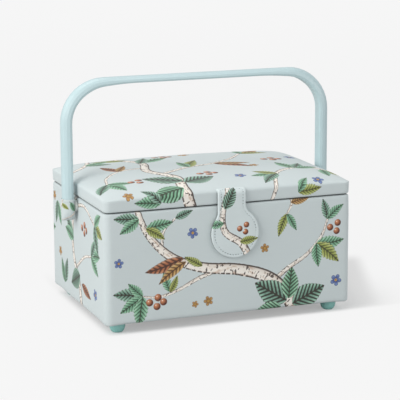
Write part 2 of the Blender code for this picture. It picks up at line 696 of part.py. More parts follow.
def make_flap(front_board):
    """Stitched flap with a stiffener and a magnet inside, and the plate that the magnet finds."""
    flap_plate("flap_backing", 0, 0, FLAP_BACKING, "printed_cloth")
    core_back = FLAP_BACKING + GAP
    facing_depth = FLAP_THICKNESS - core_back
    facing = flap_plate("flap_facing", 0, core_back, facing_depth, "printed_cloth")
    hollow_depth = facing_depth - FLAP_FACING
    hollow = flap_plate("flap_hollow", FLAP_SEAM, core_back - OVERRUN, hollow_depth + OVERRUN, None)
    cut(facing, hollow)
    stiffener = flap_plate("flap_stiffener", FLAP_SEAM + GAP, core_back, FLAP_STIFFENER, "card")
    hole_length = FLAP_STIFFENER + 2 * OVERRUN
    rod = rods_mesh("magnet_hole", MAGNET_RADIUS + GAP, hole_length, axis="Y", sides=FINE_SIDES)
    hole_y = FLAP_BACK_Y - core_back - FLAP_STIFFENER / 2
    cut(stiffener, add_cutter("magnet_hole", rod, (FLAP_DISC_OFFSET, hole_y, FLAP_DISC_HEIGHT), "flap_pivot"))
    disc = rods_mesh("flap_magnet", MAGNET_RADIUS, MAGNET_HEIGHT, axis="Y", sides=FINE_SIDES)
    magnet_y = FLAP_BACK_Y - core_back - MAGNET_HEIGHT / 2
    add_part("flap_magnet", disc, "magnet", (FLAP_DISC_OFFSET, magnet_y, FLAP_DISC_HEIGHT), "flap_pivot")
    board_face = -HALF_DEPTH + BOARD_INSET
    plate = rods_mesh("catch_plate", MAGNET_RADIUS, MAGNET_HEIGHT, axis="Y", sides=FINE_SIDES)
    add_part("catch_plate", plate, "plated_steel",
             (FLAP_DISC_OFFSET, board_face + MAGNET_HEIGHT / 2, FLAP_DISC_HEIGHT))
    recess = add_cutter("catch_recess",
                        rods_mesh("catch_recess", MAGNET_RADIUS + GAP, 2 * (MAGNET_HEIGHT + GAP), axis="Y",
                                  sides=FINE_SIDES), (FLAP_DISC_OFFSET, board_face, FLAP_DISC_HEIGHT))
    cut(front_board, recess)


def make_flap_anchor():
    """The end of the flap's strap, sewn down on the lid's top behind the front edge."""
    surface = []
    for share in CROWN_INSET_SHARES[:ANCHOR_RINGS]:
        y = (share - 1) * HALF_DEPTH
        surface.append(Vector((y, LID_EDGE_TOP + LID_CROWN * crown_height(0, y, HALF_WIDTH, HALF_DEPTH))))
    chords = [(after - before).normalized() for before, after in zip(surface, surface[1:])]
    lower = []
    upper = []
    for index, point in enumerate(surface):
        along = chords[max(index - 1, 0)] + chords[min(index, len(chords) - 1)]
        normal = Vector((-along.y, along.x)).normalized()
        lower.append(point + normal * 2 * GAP)
        upper.append(point + normal * (2 * GAP + ANCHOR_THICKNESS))
    outline = [(point.x + HALF_DEPTH, point.y - LID_EDGE_TOP) for point in lower + upper[::-1]]
    mesh = plate_mesh("flap_anchor", outline, FLAP_NECK_WIDTH)
    add_part("flap_anchor", mesh, "printed_cloth", (0, -HALF_DEPTH, LID_EDGE_TOP), "lid_pivot",
             (math.pi / 2, 0, math.pi / 2))


def handle_section(apex, inward, thickness, width):
    """Points round the handle's D section. apex is on its outer side, inward points to its flat side."""
    half = width / 2
    edge = thickness * HANDLE_EDGE_SHARE
    points = []
    for step in range(HANDLE_ARC_STEPS + 1):
        angle = math.pi * step / HANDLE_ARC_STEPS
        points.append((edge * (1 - math.sin(angle)), -half * math.cos(angle)))
    bend = edge + (thickness - edge) * HANDLE_EDGE_SHARE
    flat = half * HANDLE_FLAT_SHARE
    shoulder = flat + (half - flat) * HANDLE_EDGE_SHARE
    points += [(bend, shoulder), (thickness, flat), (thickness, -flat), (bend, -shoulder)]
    return [apex + inward * depth + Vector((0, along, 0)) for depth, along in points]


def smooth_share(value):
    """Ease from 0 to 1."""
    value = min(1.0, max(0.0, value))
    return value * value * (3 - 2 * value)


def loft(sections):
    """Join equal sections in order. The first is left open where halves meet, and the last is closed."""
    form = bmesh.new()
    loops = [[form.verts.new(point) for point in section] for section in sections]
    for first, second in zip(loops, loops[1:]):
        count = len(first)
        for index in range(count):
            after = (index + 1) % count
            form.faces.new((first[index], first[after], second[after], second[index]))
    form.faces.new(list(reversed(loops[-1])))
    return form


def make_handle():
    """Moulded handle: half of it is lofted from the middle of the bar to the leg's end, then mirrored."""
    bar_end = HANDLE_REACH - HANDLE_CORNER_RADIUS
    leg_top = HANDLE_TOP - HANDLE_CORNER_RADIUS
    thinning_start = bar_end - HANDLE_THINNING_LENGTH / 2
    corner_length = HANDLE_CORNER_RADIUS * math.pi / 2
    bar_stations = [0.0, thinning_start]
    bar_stations += [thinning_start + (bar_end - thinning_start) * step / 3 for step in (1, 2)]
    stations = [(x, Vector((x, 0, HANDLE_TOP)), Vector((0, 0, -1))) for x in bar_stations]
    for step in range(HANDLE_CORNER_STEPS + 1):
        angle = math.pi / 2 * step / HANDLE_CORNER_STEPS
        outward = Vector((math.sin(angle), 0, math.cos(angle)))
        point = Vector((bar_end, 0, leg_top)) + outward * HANDLE_CORNER_RADIUS
        stations.append((bar_end + corner_length * step / HANDLE_CORNER_STEPS, point, -outward))
    sections = []
    grow = HANDLE_LEG_THICKNESS - HANDLE_BAR_THICKNESS
    for travel, point, inward in stations:
        share = smooth_share((travel - thinning_start) / HANDLE_THINNING_LENGTH)
        thickness = HANDLE_BAR_THICKNESS + grow * share
        sections.append(handle_section(point, inward, thickness, HANDLE_WIDTH))
    sections += leg_sections(0, leg_top - HANDLE_CORNER_RADIUS / 2)
    form = loft(sections)
    bmesh.ops.transform(form, matrix=Matrix.Translation((0, 0, -HANDLE_PIVOT_HEIGHT)), verts=form.verts)
    bmesh.ops.recalc_face_normals(form, faces=form.faces)
    handle = add_part("handle", mesh_from_bmesh("handle", form, round_shading=True), "handle_plastic",
                      (0, 0, HANDLE_PIVOT_HEIGHT), "handle_pivot")
    mirror = handle.modifiers.new("mirror", "MIRROR")
    mirror.use_clip = True
    mirror.merge_threshold = WELD_DISTANCE
    for side in (-1, 1):
        cut(handle, *bolt_holes(side))


def leg_sections(grow, top, overrun=0.0):
    """Sections of the handle's right leg from a height down to its rounded end, grown by a thickness."""
    apex = HANDLE_REACH + grow
    width = HANDLE_WIDTH + 2 * grow
    thickness = HANDLE_LEG_THICKNESS + 2 * grow
    end = HANDLE_END - grow
    reach = HANDLE_WIDTH / 2
    inward = Vector((-1, 0, 0))
    sections = [handle_section(Vector((apex, 0, top + overrun)), inward, thickness, width)]
    sections.append(handle_section(Vector((apex, 0, end + reach)), inward, thickness, width))
    for share in HANDLE_TIP_SHARES:
        narrow = math.sqrt(1 - (1 - share) ** 2)
        point = Vector((apex, 0, end + reach * share))
        sections.append(handle_section(point, inward, thickness, width * narrow))
    return sections


def bolt_holes(side):
    """Hole for the pivot bolt and the deeper seat for its head, at one leg."""
    word = "left" if side < 0 else "right"
    centre_x = side * (HANDLE_INNER_X + HANDLE_LEG_THICKNESS / 2)
    radius = BOLT_RADIUS + BOLT_CLEARANCE
    through = rods_mesh(f"bolt_hole_{word}", radius, HANDLE_LEG_THICKNESS + 2 * OVERRUN, axis="X",
                        sides=SMALL_SIDES)
    seat_start = HANDLE_INNER_X + BOLT_SEAT
    seat_length = HANDLE_REACH - seat_start + OVERRUN
    seat = rods_mesh(f"bolt_seat_{word}", BOLT_HEAD_RADIUS + BOLT_CLEARANCE, seat_length, axis="X",
                     sides=FINE_SIDES)
    seat_x = side * (seat_start + seat_length / 2)
    return (add_cutter(f"bolt_hole_{word}", through, (centre_x, 0, HANDLE_PIVOT_HEIGHT), "handle_pivot"),
            add_cutter(f"bolt_seat_{word}", seat, (seat_x, 0, HANDLE_PIVOT_HEIGHT), "handle_pivot"))


def closed_leg(grow, top, overrun=0.0):
    """A closed solid round the end of the right leg."""
    form = loft(leg_sections(grow, top, overrun))
    bmesh.ops.holes_fill(form, edges=form.edges[:], sides=0)
    bmesh.ops.recalc_face_normals(form, faces=form.faces)
    bmesh.ops.transform(form, matrix=Matrix.Translation((0, 0, -HANDLE_PIVOT_HEIGHT)), verts=form.verts)
    return form


def make_sleeves():
    """Cloth sleeves that wrap the ends of the handle and hide the bolt heads."""
    top = HANDLE_PIVOT_HEIGHT + SLEEVE_ABOVE_PIVOT
    for word, side in (("left", -1), ("right", 1)):
        outer = closed_leg(GAP + SLEEVE, top)
        inner = closed_leg(GAP, top, OVERRUN)
        if side < 0:
            for form in (outer, inner):
                bmesh.ops.scale(form, vec=(-1, 1, 1), verts=form.verts)
                bmesh.ops.reverse_faces(form, faces=form.faces)
        sleeve = add_part(f"handle_sleeve_{word}", mesh_from_bmesh(f"handle_sleeve_{word}", outer, True),
                          "printed_cloth", (0, 0, HANDLE_PIVOT_HEIGHT), "handle_pivot")
        hollow = add_cutter(f"sleeve_hollow_{word}", mesh_from_bmesh(f"sleeve_hollow_{word}", inner),
                            (0, 0, HANDLE_PIVOT_HEIGHT), "handle_pivot")
        cut(sleeve, hollow, bpy.data.objects[f"sleeve_bolt_hole_{word}"])


def make_handle_pivots(boards, cover):
    """Bolt, washer and nut on each side, and the holes that they need."""
    radius = BOLT_RADIUS + BOLT_CLEARANCE
    board_inner = HALF_WIDTH - BOARD_INNER_INSET
    nut_start = board_inner + BOLT_TIP
    washer_inner = HALF_WIDTH + GAP
    head_start = HANDLE_INNER_X + BOLT_SEAT + GAP
    for word, side in (("left", -1), ("right", 1)):
        turn = (0, side * math.pi / 2, 0)
        axis_point = (0, 0, HANDLE_PIVOT_HEIGHT)
        head_end = head_start + BOLT_HEAD_HEIGHT
        bolt_profile = [(0, head_end), (BOLT_HEAD_RADIUS, head_end), (BOLT_HEAD_RADIUS, head_start),
                        (BOLT_RADIUS, head_start), (BOLT_RADIUS, nut_start), (0, nut_start)]
        turned_part(f"handle_bolt_{word}", bolt_profile, "plated_steel", axis_point, SMALL_SIDES,
                    rotation=turn)
        washer_outer = washer_inner + WASHER_HEIGHT
        washer_profile = [(radius, washer_outer), (WASHER_RADIUS, washer_outer),
                          (WASHER_RADIUS, washer_inner), (radius, washer_inner), (radius, washer_outer)]
        turned_part(f"handle_washer_{word}", washer_profile, "washer_plastic", axis_point, FINE_SIDES,
                    rotation=turn)
        nut_profile = [(radius, nut_start + NUT_HEIGHT), (NUT_RADIUS, nut_start + NUT_HEIGHT),
                       (NUT_RADIUS, nut_start), (radius, nut_start), (radius, nut_start + NUT_HEIGHT)]
        turned_part(f"handle_nut_{word}", nut_profile, "plated_steel", axis_point, SMALL_SIDES, rotation=turn)
        wall = boards[word]
        hole_length = BOARD + COVER + 2 * OVERRUN
        hole_x = side * (board_inner + (BOARD + COVER) / 2)
        hole = add_cutter(f"wall_bolt_hole_{word}",
                          rods_mesh(f"wall_bolt_hole_{word}", radius, hole_length, axis="X"),
                          (hole_x, 0, HANDLE_PIVOT_HEIGHT))
        pocket_depth = NUT_HEIGHT + BOLT_TIP + GAP
        pocket = add_cutter(f"nut_pocket_{word}",
                            rods_mesh(f"nut_pocket_{word}", NUT_RADIUS + GAP, 2 * pocket_depth, axis="X",
                                      sides=SMALL_SIDES), (side * board_inner, 0, HANDLE_PIVOT_HEIGHT))
        cut(wall, hole, pocket)
        cut(cover, hole)
        sleeve_hole = rods_mesh(f"sleeve_bolt_hole_{word}", radius, 2 * (SLEEVE + GAP), axis="X")
        add_cutter(f"sleeve_bolt_hole_{word}", sleeve_hole,
                   (side * (HANDLE_INNER_X - GAP - SLEEVE / 2), 0, HANDLE_PIVOT_HEIGHT), "handle_pivot")


def hinge_leaf(name, centre_x, up, leaf_height, knuckles, pivot):
    """A hinge leaf: a flat plate on the back of the box with its share of the barrel."""
    knuckle = HINGE_LENGTH / HINGE_KNUCKLES
    clear = HINGE_BARREL_RADIUS + GAP
    plate_y = HALF_DEPTH + GAP + HINGE_LEAF / 2
    plate_z = HINGE_Z + up * (clear + leaf_height / 2)
    leaf = add_part(name, box_mesh(name, (HINGE_LENGTH, HINGE_LEAF, leaf_height)), "plated_steel",
                    (centre_x, plate_y, plate_z), pivot)
    for index in knuckles:
        x = centre_x + (index - (HINGE_KNUCKLES - 1) / 2) * knuckle
        length = knuckle - GAP
        tongue_height = clear + leaf_height / 2
        tongue = add_cutter(f"{name}_tongue_{index}",
                            box_mesh(f"{name}_tongue_{index}", (length, HINGE_LEAF, tongue_height)),
                            (x, plate_y, HINGE_Z + up * tongue_height / 2), pivot)
        barrel = add_cutter(f"{name}_knuckle_{index}",
                            rods_mesh(f"{name}_knuckle_{index}", HINGE_BARREL_RADIUS, length, axis="X",
                                      sides=FINE_SIDES), (x, HINGE_Y, HINGE_Z), pivot)
        fuse(leaf, tongue, barrel)
    bore_length = HINGE_LENGTH + 2 * OVERRUN
    bore = rods_mesh(f"{name}_bore", HINGE_BORE_RADIUS, bore_length, axis="X", sides=SMALL_SIDES)
    cut(leaf, add_cutter(f"{name}_bore", bore, (centre_x, HINGE_Y, HINGE_Z), pivot))
    return leaf, plate_z


def hinge_screws(name, leaf, centre_x, height, pivot, board, cover):
    """The screws of one leaf, with the holes in the leaf, the cover and the board behind it."""
    face = HALF_DEPTH + GAP + HINGE_LEAF
    tip = HALF_DEPTH - BOARD_INSET - HINGE_SCREW_DEPTH
    head = face + GAP
    head_end = head + HINGE_SCREW_HEAD_HEIGHT
    profile = [(0, head_end), (HINGE_SCREW_HEAD_RADIUS, head_end), (HINGE_SCREW_HEAD_RADIUS, head),
               (HINGE_SCREW_RADIUS, head), (HINGE_SCREW_RADIUS, tip), (0, tip)]
    hole_length = face - tip + 2 * GAP
    places = []
    for number, side in (("1", -1), ("2", 1)):
        x = centre_x + side * HINGE_SCREW_SPACING / 2
        places.append((x, 0, 0))
        turned_part(f"{name}_screw_{number}", profile, "plated_steel", (x, 0, height), SMALL_SIDES, pivot,
                    (-math.pi / 2, 0, 0))
    holes = rods_mesh(f"{name}_screw_holes", HINGE_SCREW_RADIUS + GAP, hole_length, places, axis="Y")
    cutter = add_cutter(f"{name}_screw_holes", holes, (0, tip - GAP + hole_length / 2, height), pivot)
    cut(leaf, cutter)
    cut(cover, cutter)
    cut(board, cutter)


def make_hinges(boards, cover, rims, lid_cover):
    """Two butt hinges on the back, across the seam between the box and the lid."""
    for word, side in (("left", -1), ("right", 1)):
        centre_x = side * (HALF_WIDTH - HINGE_END_INSET)
        outer = [index for index in range(HINGE_KNUCKLES) if index % 2 == 0]
        inner = [index for index in range(HINGE_KNUCKLES) if index % 2 == 1]
        name = f"hinge_{word}_body_leaf"
        leaf, height = hinge_leaf(name, centre_x, -1, HINGE_BODY_LEAF_HEIGHT, outer, "basket")
        hinge_screws(f"hinge_{word}_body", leaf, centre_x, height, "basket", boards["back"], cover)
        name = f"hinge_{word}_lid_leaf"
        leaf, height = hinge_leaf(name, centre_x, 1, HINGE_LID_LEAF_HEIGHT, inner, "lid_pivot")
        hinge_screws(f"hinge_{word}_lid", leaf, centre_x, height, "lid_pivot", rims["back"], lid_cover)
        name = f"hinge_{word}_pin"
        pin = rods_mesh(name, HINGE_PIN_RADIUS, HINGE_LENGTH - GAP, axis="X", sides=SMALL_SIDES)
        add_part(name, pin, "plated_steel", (centre_x, HINGE_Y, HINGE_Z))


def tray_pockets(half_x, half_y):
    """Middle and half sizes of each compartment, from the shares of its columns and rows."""
    pockets = []
    wall = TRAY_WALL / 2
    inner_x = half_x - wall
    inner_y = half_y - wall
    columns = list(zip(TRAY_COLUMN_SHARES, TRAY_COLUMN_SHARES[1:]))
    for (left, right), rows in zip(columns, TRAY_ROW_SHARES):
        for front, back in zip(rows, rows[1:]):
            x0 = -inner_x + 2 * inner_x * left + wall
            x1 = -inner_x + 2 * inner_x * right - wall
            y0 = -inner_y + 2 * inner_y * front + wall
            y1 = -inner_y + 2 * inner_y * back - wall
            pockets.append(((x0 + x1) / 2, (y0 + y1) / 2, (x1 - x0) / 2, (y1 - y0) / 2))
    return pockets


def make_tray():
    """Moulded lift-out tray with open compartments."""
    half_x = INNER_HALF_WIDTH - TRAY_SIDE_CLEARANCE
    half_y = INNER_HALF_DEPTH - TRAY_SIDE_CLEARANCE
    outline = rounded_loop(half_x, half_y, TRAY_CORNER_RADIUS)
    tray = add_part("tray", plate_mesh("tray", outline, TRAY_HEIGHT), "tray_plastic",
                    (0, 0, TRAY_REST_HEIGHT + TRAY_HEIGHT / 2), "tray_pivot")
    depth = TRAY_HEIGHT - TRAY_FLOOR + OVERRUN
    for number, (x, y, pocket_x, pocket_y) in enumerate(tray_pockets(half_x, half_y)):
        loop = rounded_loop(pocket_x, pocket_y, TRAY_POCKET_RADIUS)
        name = f"tray_pocket_{number}"
        middle = (x, y, TRAY_REST_HEIGHT + TRAY_FLOOR + depth / 2)
        cut(tray, add_cutter(name, plate_mesh(name, loop, depth), middle, "tray_pivot"))


def make_basket():
    make_pivots()
    boards = make_body_boards()
    cover = make_body_cover()
    make_base_cloth()
    make_body_lining()
    make_ledges()
    make_feet(boards["base"], cover)
    rims = make_lid_boards()
    make_lid_pad()
    lid_cover = make_lid_cover()
    make_lid_lining()
    make_pincushion()
    make_pocket()
    make_flap(boards["front"])
    make_flap_anchor()
    make_handle()
    make_handle_pivots(boards, cover)
    make_sleeves()
    make_hinges(boards, cover, rims, lid_cover)
    make_tray()


clear_scene()
parts = new_collection("sewing_basket")
cutters = new_collection("cutters")
finishes = {name: make_material(name) for name in MATERIALS}
make_basket()
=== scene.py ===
"""Studio scene of a cloth-covered sewing basket, laid out as a Blender add-on and run as a script.

The packed model is the fixed frame. The cloth, the padding, the stitching and the stage are made here.
Lengths are in metres, +Z is up, and the flap hangs on the -Y side.
"""

import json
import math
import random

import bpy
import numpy as np
from bpy.props import FloatProperty, FloatVectorProperty, PointerProperty
from bpy.types import Operator, Panel, PropertyGroup
from mathutils import Matrix, Vector, noise


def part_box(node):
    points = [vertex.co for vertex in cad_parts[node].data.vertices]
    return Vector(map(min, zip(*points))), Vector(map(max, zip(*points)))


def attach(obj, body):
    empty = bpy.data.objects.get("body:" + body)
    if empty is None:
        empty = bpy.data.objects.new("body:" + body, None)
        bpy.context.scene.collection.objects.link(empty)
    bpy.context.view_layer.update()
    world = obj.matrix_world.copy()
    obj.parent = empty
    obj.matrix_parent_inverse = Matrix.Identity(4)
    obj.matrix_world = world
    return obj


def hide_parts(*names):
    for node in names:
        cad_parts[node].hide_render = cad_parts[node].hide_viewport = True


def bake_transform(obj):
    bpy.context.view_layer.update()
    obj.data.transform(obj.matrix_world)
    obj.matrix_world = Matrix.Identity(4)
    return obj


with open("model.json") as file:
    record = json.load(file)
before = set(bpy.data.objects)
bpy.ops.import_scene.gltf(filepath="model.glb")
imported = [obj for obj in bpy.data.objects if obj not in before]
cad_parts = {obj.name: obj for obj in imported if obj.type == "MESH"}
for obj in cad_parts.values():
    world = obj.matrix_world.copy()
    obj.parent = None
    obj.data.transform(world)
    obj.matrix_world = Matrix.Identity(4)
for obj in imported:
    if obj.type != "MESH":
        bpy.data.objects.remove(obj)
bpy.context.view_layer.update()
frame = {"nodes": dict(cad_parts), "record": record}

bl_info = {
    "name": "Sewing Basket",
    "version": (1, 0, 0),
    "blender": (4, 5, 0),
    "location": "View3D > Sidebar > Sewing Basket",
    "description": "Dresses the sewing basket in printed cloth and sets up its studio",
    "category": "Object",
}

MM = 0.001
# How many motifs of each kind can share one face of the cloth
STEM_LAYERS, LEAF_LAYERS, BLOOM_LAYERS = 2, 4, 2

# Inks of the print, in the order of the colour ramps, and kinds of bloom
MINT, GREEN, OLIVE, RUST, OCHRE, BLUE = range(6)
BERRY, BLOSSOM = 1, 2

# Depth of the CAD model's rim above the lower face of the lid's padding
RIM_RISE = 3.0 * MM
# Section of the handle's legs, as in the CAD model
HANDLE_THICKNESS, HANDLE_WIDTH = 11 * MM, 15 * MM
# Half widths of the threads of the topstitching, and how far above the cloth they and the painted shade in
# their needle holes lie
FLAP_THREAD, SLEEVE_THREAD = 0.27 * MM, 0.18 * MM
STITCH_LIFT, NEEDLE_HOLE_SHADE_LIFT = 0.12 * MM, 0.10 * MM
# How quickly the end of a printed stem narrows, for each length that it runs on
STEM_TAPER = 0.9
# Half width of the studio's floor, and its brightness in the light that it throws back
FLOOR_SIZE, FLOOR_BOUNCE = 6.0, 0.54
# Distance from the basket at which the floor can't be told from the backdrop
SHADOW_END = 0.40
# Widths over which the painted shadow on the floor beside the basket fades in, and its share of darkness at
# the front
PAINTED_SHADOW_SIDE_FADE, PAINTED_SHADOW_FRONT_FADE, PAINTED_SHADOW_FRONT_SHARE = 12 * MM, 24 * MM, 0.3


# Settings


def length_setting(name, description, default, *limits):
    """A length, with its least and greatest value where it has them."""
    return FloatProperty(name=name, description=description, default=default, subtype="DISTANCE",
                         unit="LENGTH", **dict(zip(("min", "max"), limits)))


def angle_setting(name, description, degrees):
    return FloatProperty(name=name, description=description, default=math.radians(degrees), subtype="ANGLE",
                         unit="ROTATION")


def number_setting(name, description, default, low, high):
    return FloatProperty(name=name, description=description, default=default, min=low, max=high)


def colour_setting(name, description, default):
    return FloatVectorProperty(name=name, description=description, default=default, min=0.0, max=1.0,
                               subtype="COLOR")


class ClothSettings(PropertyGroup):
    """The printed cloth and how it lies on the box."""

    ground: colour_setting("Ground", "Colour of the cloth between the motifs", (0.578, 0.648, 0.658))
    cream: colour_setting("Cream", "Light ink of the stems", (0.900, 0.855, 0.790))
    bark: colour_setting("Bark", "Dark ink of the stems", (0.045, 0.026, 0.020))
    # Painted light: the flap's cloth is a lighter copy of the printed cloth, for the light on its padded face
    flap_painted_light: number_setting(
        "Flap Tone", "How much paler the flap's cloth is, where white wadding shines through", 1.10, 1.0, 1.4)
    mesh_step: length_setting("Mesh Step", "Spacing of the cloth's mesh", 2.2 * MM, 1.0 * MM, 6.0 * MM)
    corner_radius: length_setting("Corner Radius", "Radius of the upright corners",
                                  7.0 * MM, 2.0 * MM, 20.0 * MM)
    top_edge_radius: length_setting("Top Edge Radius", "Radius where the cloth turns at the seam",
                                    1.8 * MM, 0.2 * MM, 4.0 * MM)
    bottom_edge_radius: length_setting("Bottom Edge Radius", "Radius where the cloth turns under the base",
                                       3.0 * MM, 0.2 * MM, 5.0 * MM)
    seam_lean: length_setting("Seam Lean", "How far the cloth draws in towards the seam between body and lid",
                              0.45 * MM, 0.0, 3.0 * MM)
    # Strength of the painted shade in the seam and wherever other pieces close the cloth in
    seam_painted_shade: number_setting("Seam Shade", "How much darker the cloth is where other pieces close it in",
                               0.85, 0.0, 1.0)
    seam_gap: length_setting("Seam Gap", "How far each of the two edges turns away from the seam",
                             0.4 * MM, 0.0, 2.0 * MM)
    waviness: length_setting("Waviness", "How far the cloth departs from flat", 0.22 * MM, 0.0, 2.0 * MM)
    corner_sag: length_setting("Corner Sag", "How far the folded cloth hangs under the box's bottom corners",
                               1.7 * MM, 0.0, 4.0 * MM)
    thread_pitch: length_setting("Thread Pitch", "Spacing of the threads", 0.62 * MM, 0.2 * MM, 3.0 * MM)


class FlapSettings(PropertyGroup):
    """The padded flap and its stitching."""

    thickness: length_setting("Thickness", "Thickness of the padded flap", 3.2 * MM, 1.0 * MM, 8.0 * MM)
    seam_inset: length_setting("Seam Inset", "Distance of the stitching from the edge",
                               3.2 * MM, 1.0 * MM, 8.0 * MM)
    seam_depth: length_setting("Seam Depth", "How deep the stitching pulls the cloth in",
                               0.22 * MM, 0.0, 2.0 * MM)
    stitch_length: length_setting("Stitch Length", "Length of one stitch", 2.0 * MM, 0.5 * MM, 6.0 * MM)
    stitch_gap: length_setting("Stitch Gap", "Space between stitches", 0.9 * MM, 0.2 * MM, 4.0 * MM)
    # Painted shade: radius of the dark discs that stand for the shade in the needle holes
    needle_hole_shade: length_setting("Needle Hole", "Radius of the holes between the stitches",
                                0.42 * MM, 0.05 * MM, 1.0 * MM)
    strap_length: length_setting(
        "Strap Length", "How far the strap runs on above the lid's front edge, into its seam",
        6.0 * MM, 5.0 * MM, 40.0 * MM)
    strap_dive: length_setting(
        "Strap Dive", "Depth behind the lid's front edge at which the strap is under the cloth",
        2.6 * MM, 1.0 * MM, 20.0 * MM)


class HardPartSettings(PropertyGroup):
    """Colours of the plastic and lining."""

    handle: colour_setting("Handle", "Colour of the handle", (0.490, 0.635, 0.665))
    foot: colour_setting("Feet", "Colour of the feet", (0.285, 0.595, 0.555))
    tray: colour_setting("Tray", "Colour of the tray", (0.800, 0.815, 0.805))
    lining: colour_setting("Lining", "Colour of the lining", (0.770, 0.790, 0.765))


class StageSettings(PropertyGroup):
    """Camera, lamps and floor."""

    azimuth: angle_setting("Azimuth", "Angle of the camera round the basket", -20.58)
    elevation: angle_setting("Elevation", "Angle of the camera above the table", 11.82)
    roll: angle_setting("Roll", "Tilt of the camera", -0.32)
    distance: length_setting("Distance", "Distance of the camera from its target", 1.7368, 0.5, 10.0)
    lens: number_setting("Lens", "Focal length in millimetres", 151.29, 20.0, 400.0)
    target_height: length_setting("Target Height", "Height that the camera looks at", 0.08537)
    target_right: length_setting("Target Right", "Sideways shift of the camera", 0.00234)
    target_up: length_setting("Target Up", "Upward shift of the camera", 0.0221)
    background: number_setting("Background", "Brightness of the backdrop", 0.9216, 0.0, 1.0)
    fill: number_setting("Fill", "Strength of the light from all sides", 0.59, 0.0, 2.0)
    floor_lift: number_setting("Floor Lift", "Brightness that the camera sees added to the floor",
                               0.325, 0.0, 1.0)
    floor_shade: number_setting("Floor Shade", "Share of the floor's brightness that takes shadows",
                                0.53, 0.0, 1.0)
    shadow_start: length_setting(
        "Shadow Start", "How far inside the basket's edges the close shadow starts to fade",
        12.5 * MM, 0.0, 50.0 * MM)
    shadow_reach: length_setting("Shadow Reach", "Width of the band in which the close shadow fades",
                                 13.0 * MM, 1.0 * MM, 200.0 * MM)
    shadow_stretch: number_setting(
        "Shadow Stretch", "How many times farther the shadow reaches to the right and back", 9.0, 1.0, 20.0)
    # Painted shadow on the floor beside the basket: its depth, width and slant
    painted_shadow_depth: number_setting(
        "Cast Depth", "How much darker the floor is beside the basket, away from the window", 0.20, 0.0, 0.3)
    painted_shadow_reach: length_setting("Cast Reach", "Width of the darker floor beside the basket",
                               22 * MM, 1.0 * MM, 100.0 * MM)
    painted_shadow_slant: number_setting(
        "Cast Slant", "Sideways run of the darker floor for each step towards the back", 0.37, -2.0, 2.0)
    shadow_rest: number_setting("Shadow Rest", "Share of the shadow that is left farther out", 0.08, 0.0, 1.0)


# Node helper


class Nodes:
    """Adds nodes to a tree. Values may be numbers, tuples or other nodes' sockets."""

    def __init__(self, tree):
        self.tree = tree

    def add(self, kind, settings=None, **inputs):
        node = self.tree.nodes.new(kind)
        for key, value in (settings or {}).items():
            setattr(node, key, value)
        return self.fill(node, **inputs)

    def fill(self, node, **inputs):
        for key, value in inputs.items():
            self.feed(node.inputs[key.replace("_", " ")], value)
        return node

    def feed(self, socket, value):
        if isinstance(value, bpy.types.NodeSocket):
            self.tree.links.new(value, socket)
        elif value is not None:
            socket.default_value = value

    def math(self, operation, *values, clamp=False):
        node = self.tree.nodes.new("ShaderNodeMath")
        node.operation = operation
        node.use_clamp = clamp
        for socket, value in zip(node.inputs, values):
            self.feed(socket, value)
        return node.outputs[0]

    def plus(self, *values, clamp=False):
        return self.math("ADD", *values, clamp=clamp)

    def minus(self, *values):
        return self.math("SUBTRACT", *values)

    def times(self, *values):
        return self.math("MULTIPLY", *values)

    def vector(self, operation, *values):
        node = self.tree.nodes.new("ShaderNodeVectorMath")
        node.operation = operation
        for socket, value in zip(node.inputs, values):
            self.feed(socket, value)
        return node.outputs["Value" if operation in ("LENGTH", "DISTANCE", "DOT_PRODUCT") else "Vector"]

    def step(self, value, low, high, to_low=0.0, to_high=1.0):
        """Smooth step from to_low at low to to_high at high."""
        node = self.tree.nodes.new("ShaderNodeMapRange")
        node.interpolation_type = "SMOOTHSTEP"
        for socket, number in zip(node.inputs, (value, low, high, to_low, to_high)):
            self.feed(socket, number)
        return node.outputs[0]

    def mix(self, factor, first, second):
        node = self.tree.nodes.new("ShaderNodeMix")
        node.data_type = "RGBA"
        node.clamp_factor = True
        for index, value in ((0, factor), (6, first), (7, second)):
            if isinstance(value, (tuple, list)) and len(value) == 3:
                value = (*value, 1.0)
            self.feed(node.inputs[index], value)
        return node.outputs[2]

    def place(self):
        return self.add("ShaderNodeTexCoord").outputs["Object"]

    def split(self, vector):
        return self.add("ShaderNodeSeparateXYZ", Vector=vector).outputs

    def join(self, x, y):
        return self.add("ShaderNodeCombineXYZ", X=x, Y=y).outputs[0]

    def noise(self, vector, scale, detail=2.0, roughness=0.5):
        return self.add("ShaderNodeTexNoise", Vector=vector, Scale=scale, Detail=detail,
                        Roughness=roughness).outputs["Fac"]

    def distance(self, x, y):
        return self.math("SQRT", self.plus(self.math("POWER", x, 2.0), self.math("POWER", y, 2.0)))


def new_group(name, inputs, outputs):
    """A shader node group with named sockets. Returns its helper, its input sockets and its output node."""
    group = bpy.data.node_groups.new(name, "ShaderNodeTree")
    for label, kind, default in inputs:
        socket = group.interface.new_socket(label, in_out="INPUT", socket_type=kind)
        socket.default_value = default
    for label, kind in outputs:
        group.interface.new_socket(label, in_out="OUTPUT", socket_type=kind)
    nodes = Nodes(group)
    return nodes, nodes.add("NodeGroupInput").outputs, nodes.add("NodeGroupOutput")


def use_group(nodes, name, **inputs):
    return nodes.add("ShaderNodeGroup", {"node_tree": bpy.data.node_groups[name]}, **inputs).outputs


# Node groups

LIGHT_INKS = ((0.330, 0.640, 0.420), (0.320, 0.560, 0.430), (0.520, 0.570, 0.150), (0.600, 0.230, 0.100),
              (0.700, 0.430, 0.150), (0.260, 0.370, 0.680))
DARK_INKS = ((0.026, 0.110, 0.060), (0.012, 0.030, 0.020), (0.090, 0.120, 0.022), (0.120, 0.030, 0.014),
             (0.200, 0.085, 0.020), (0.030, 0.055, 0.200))


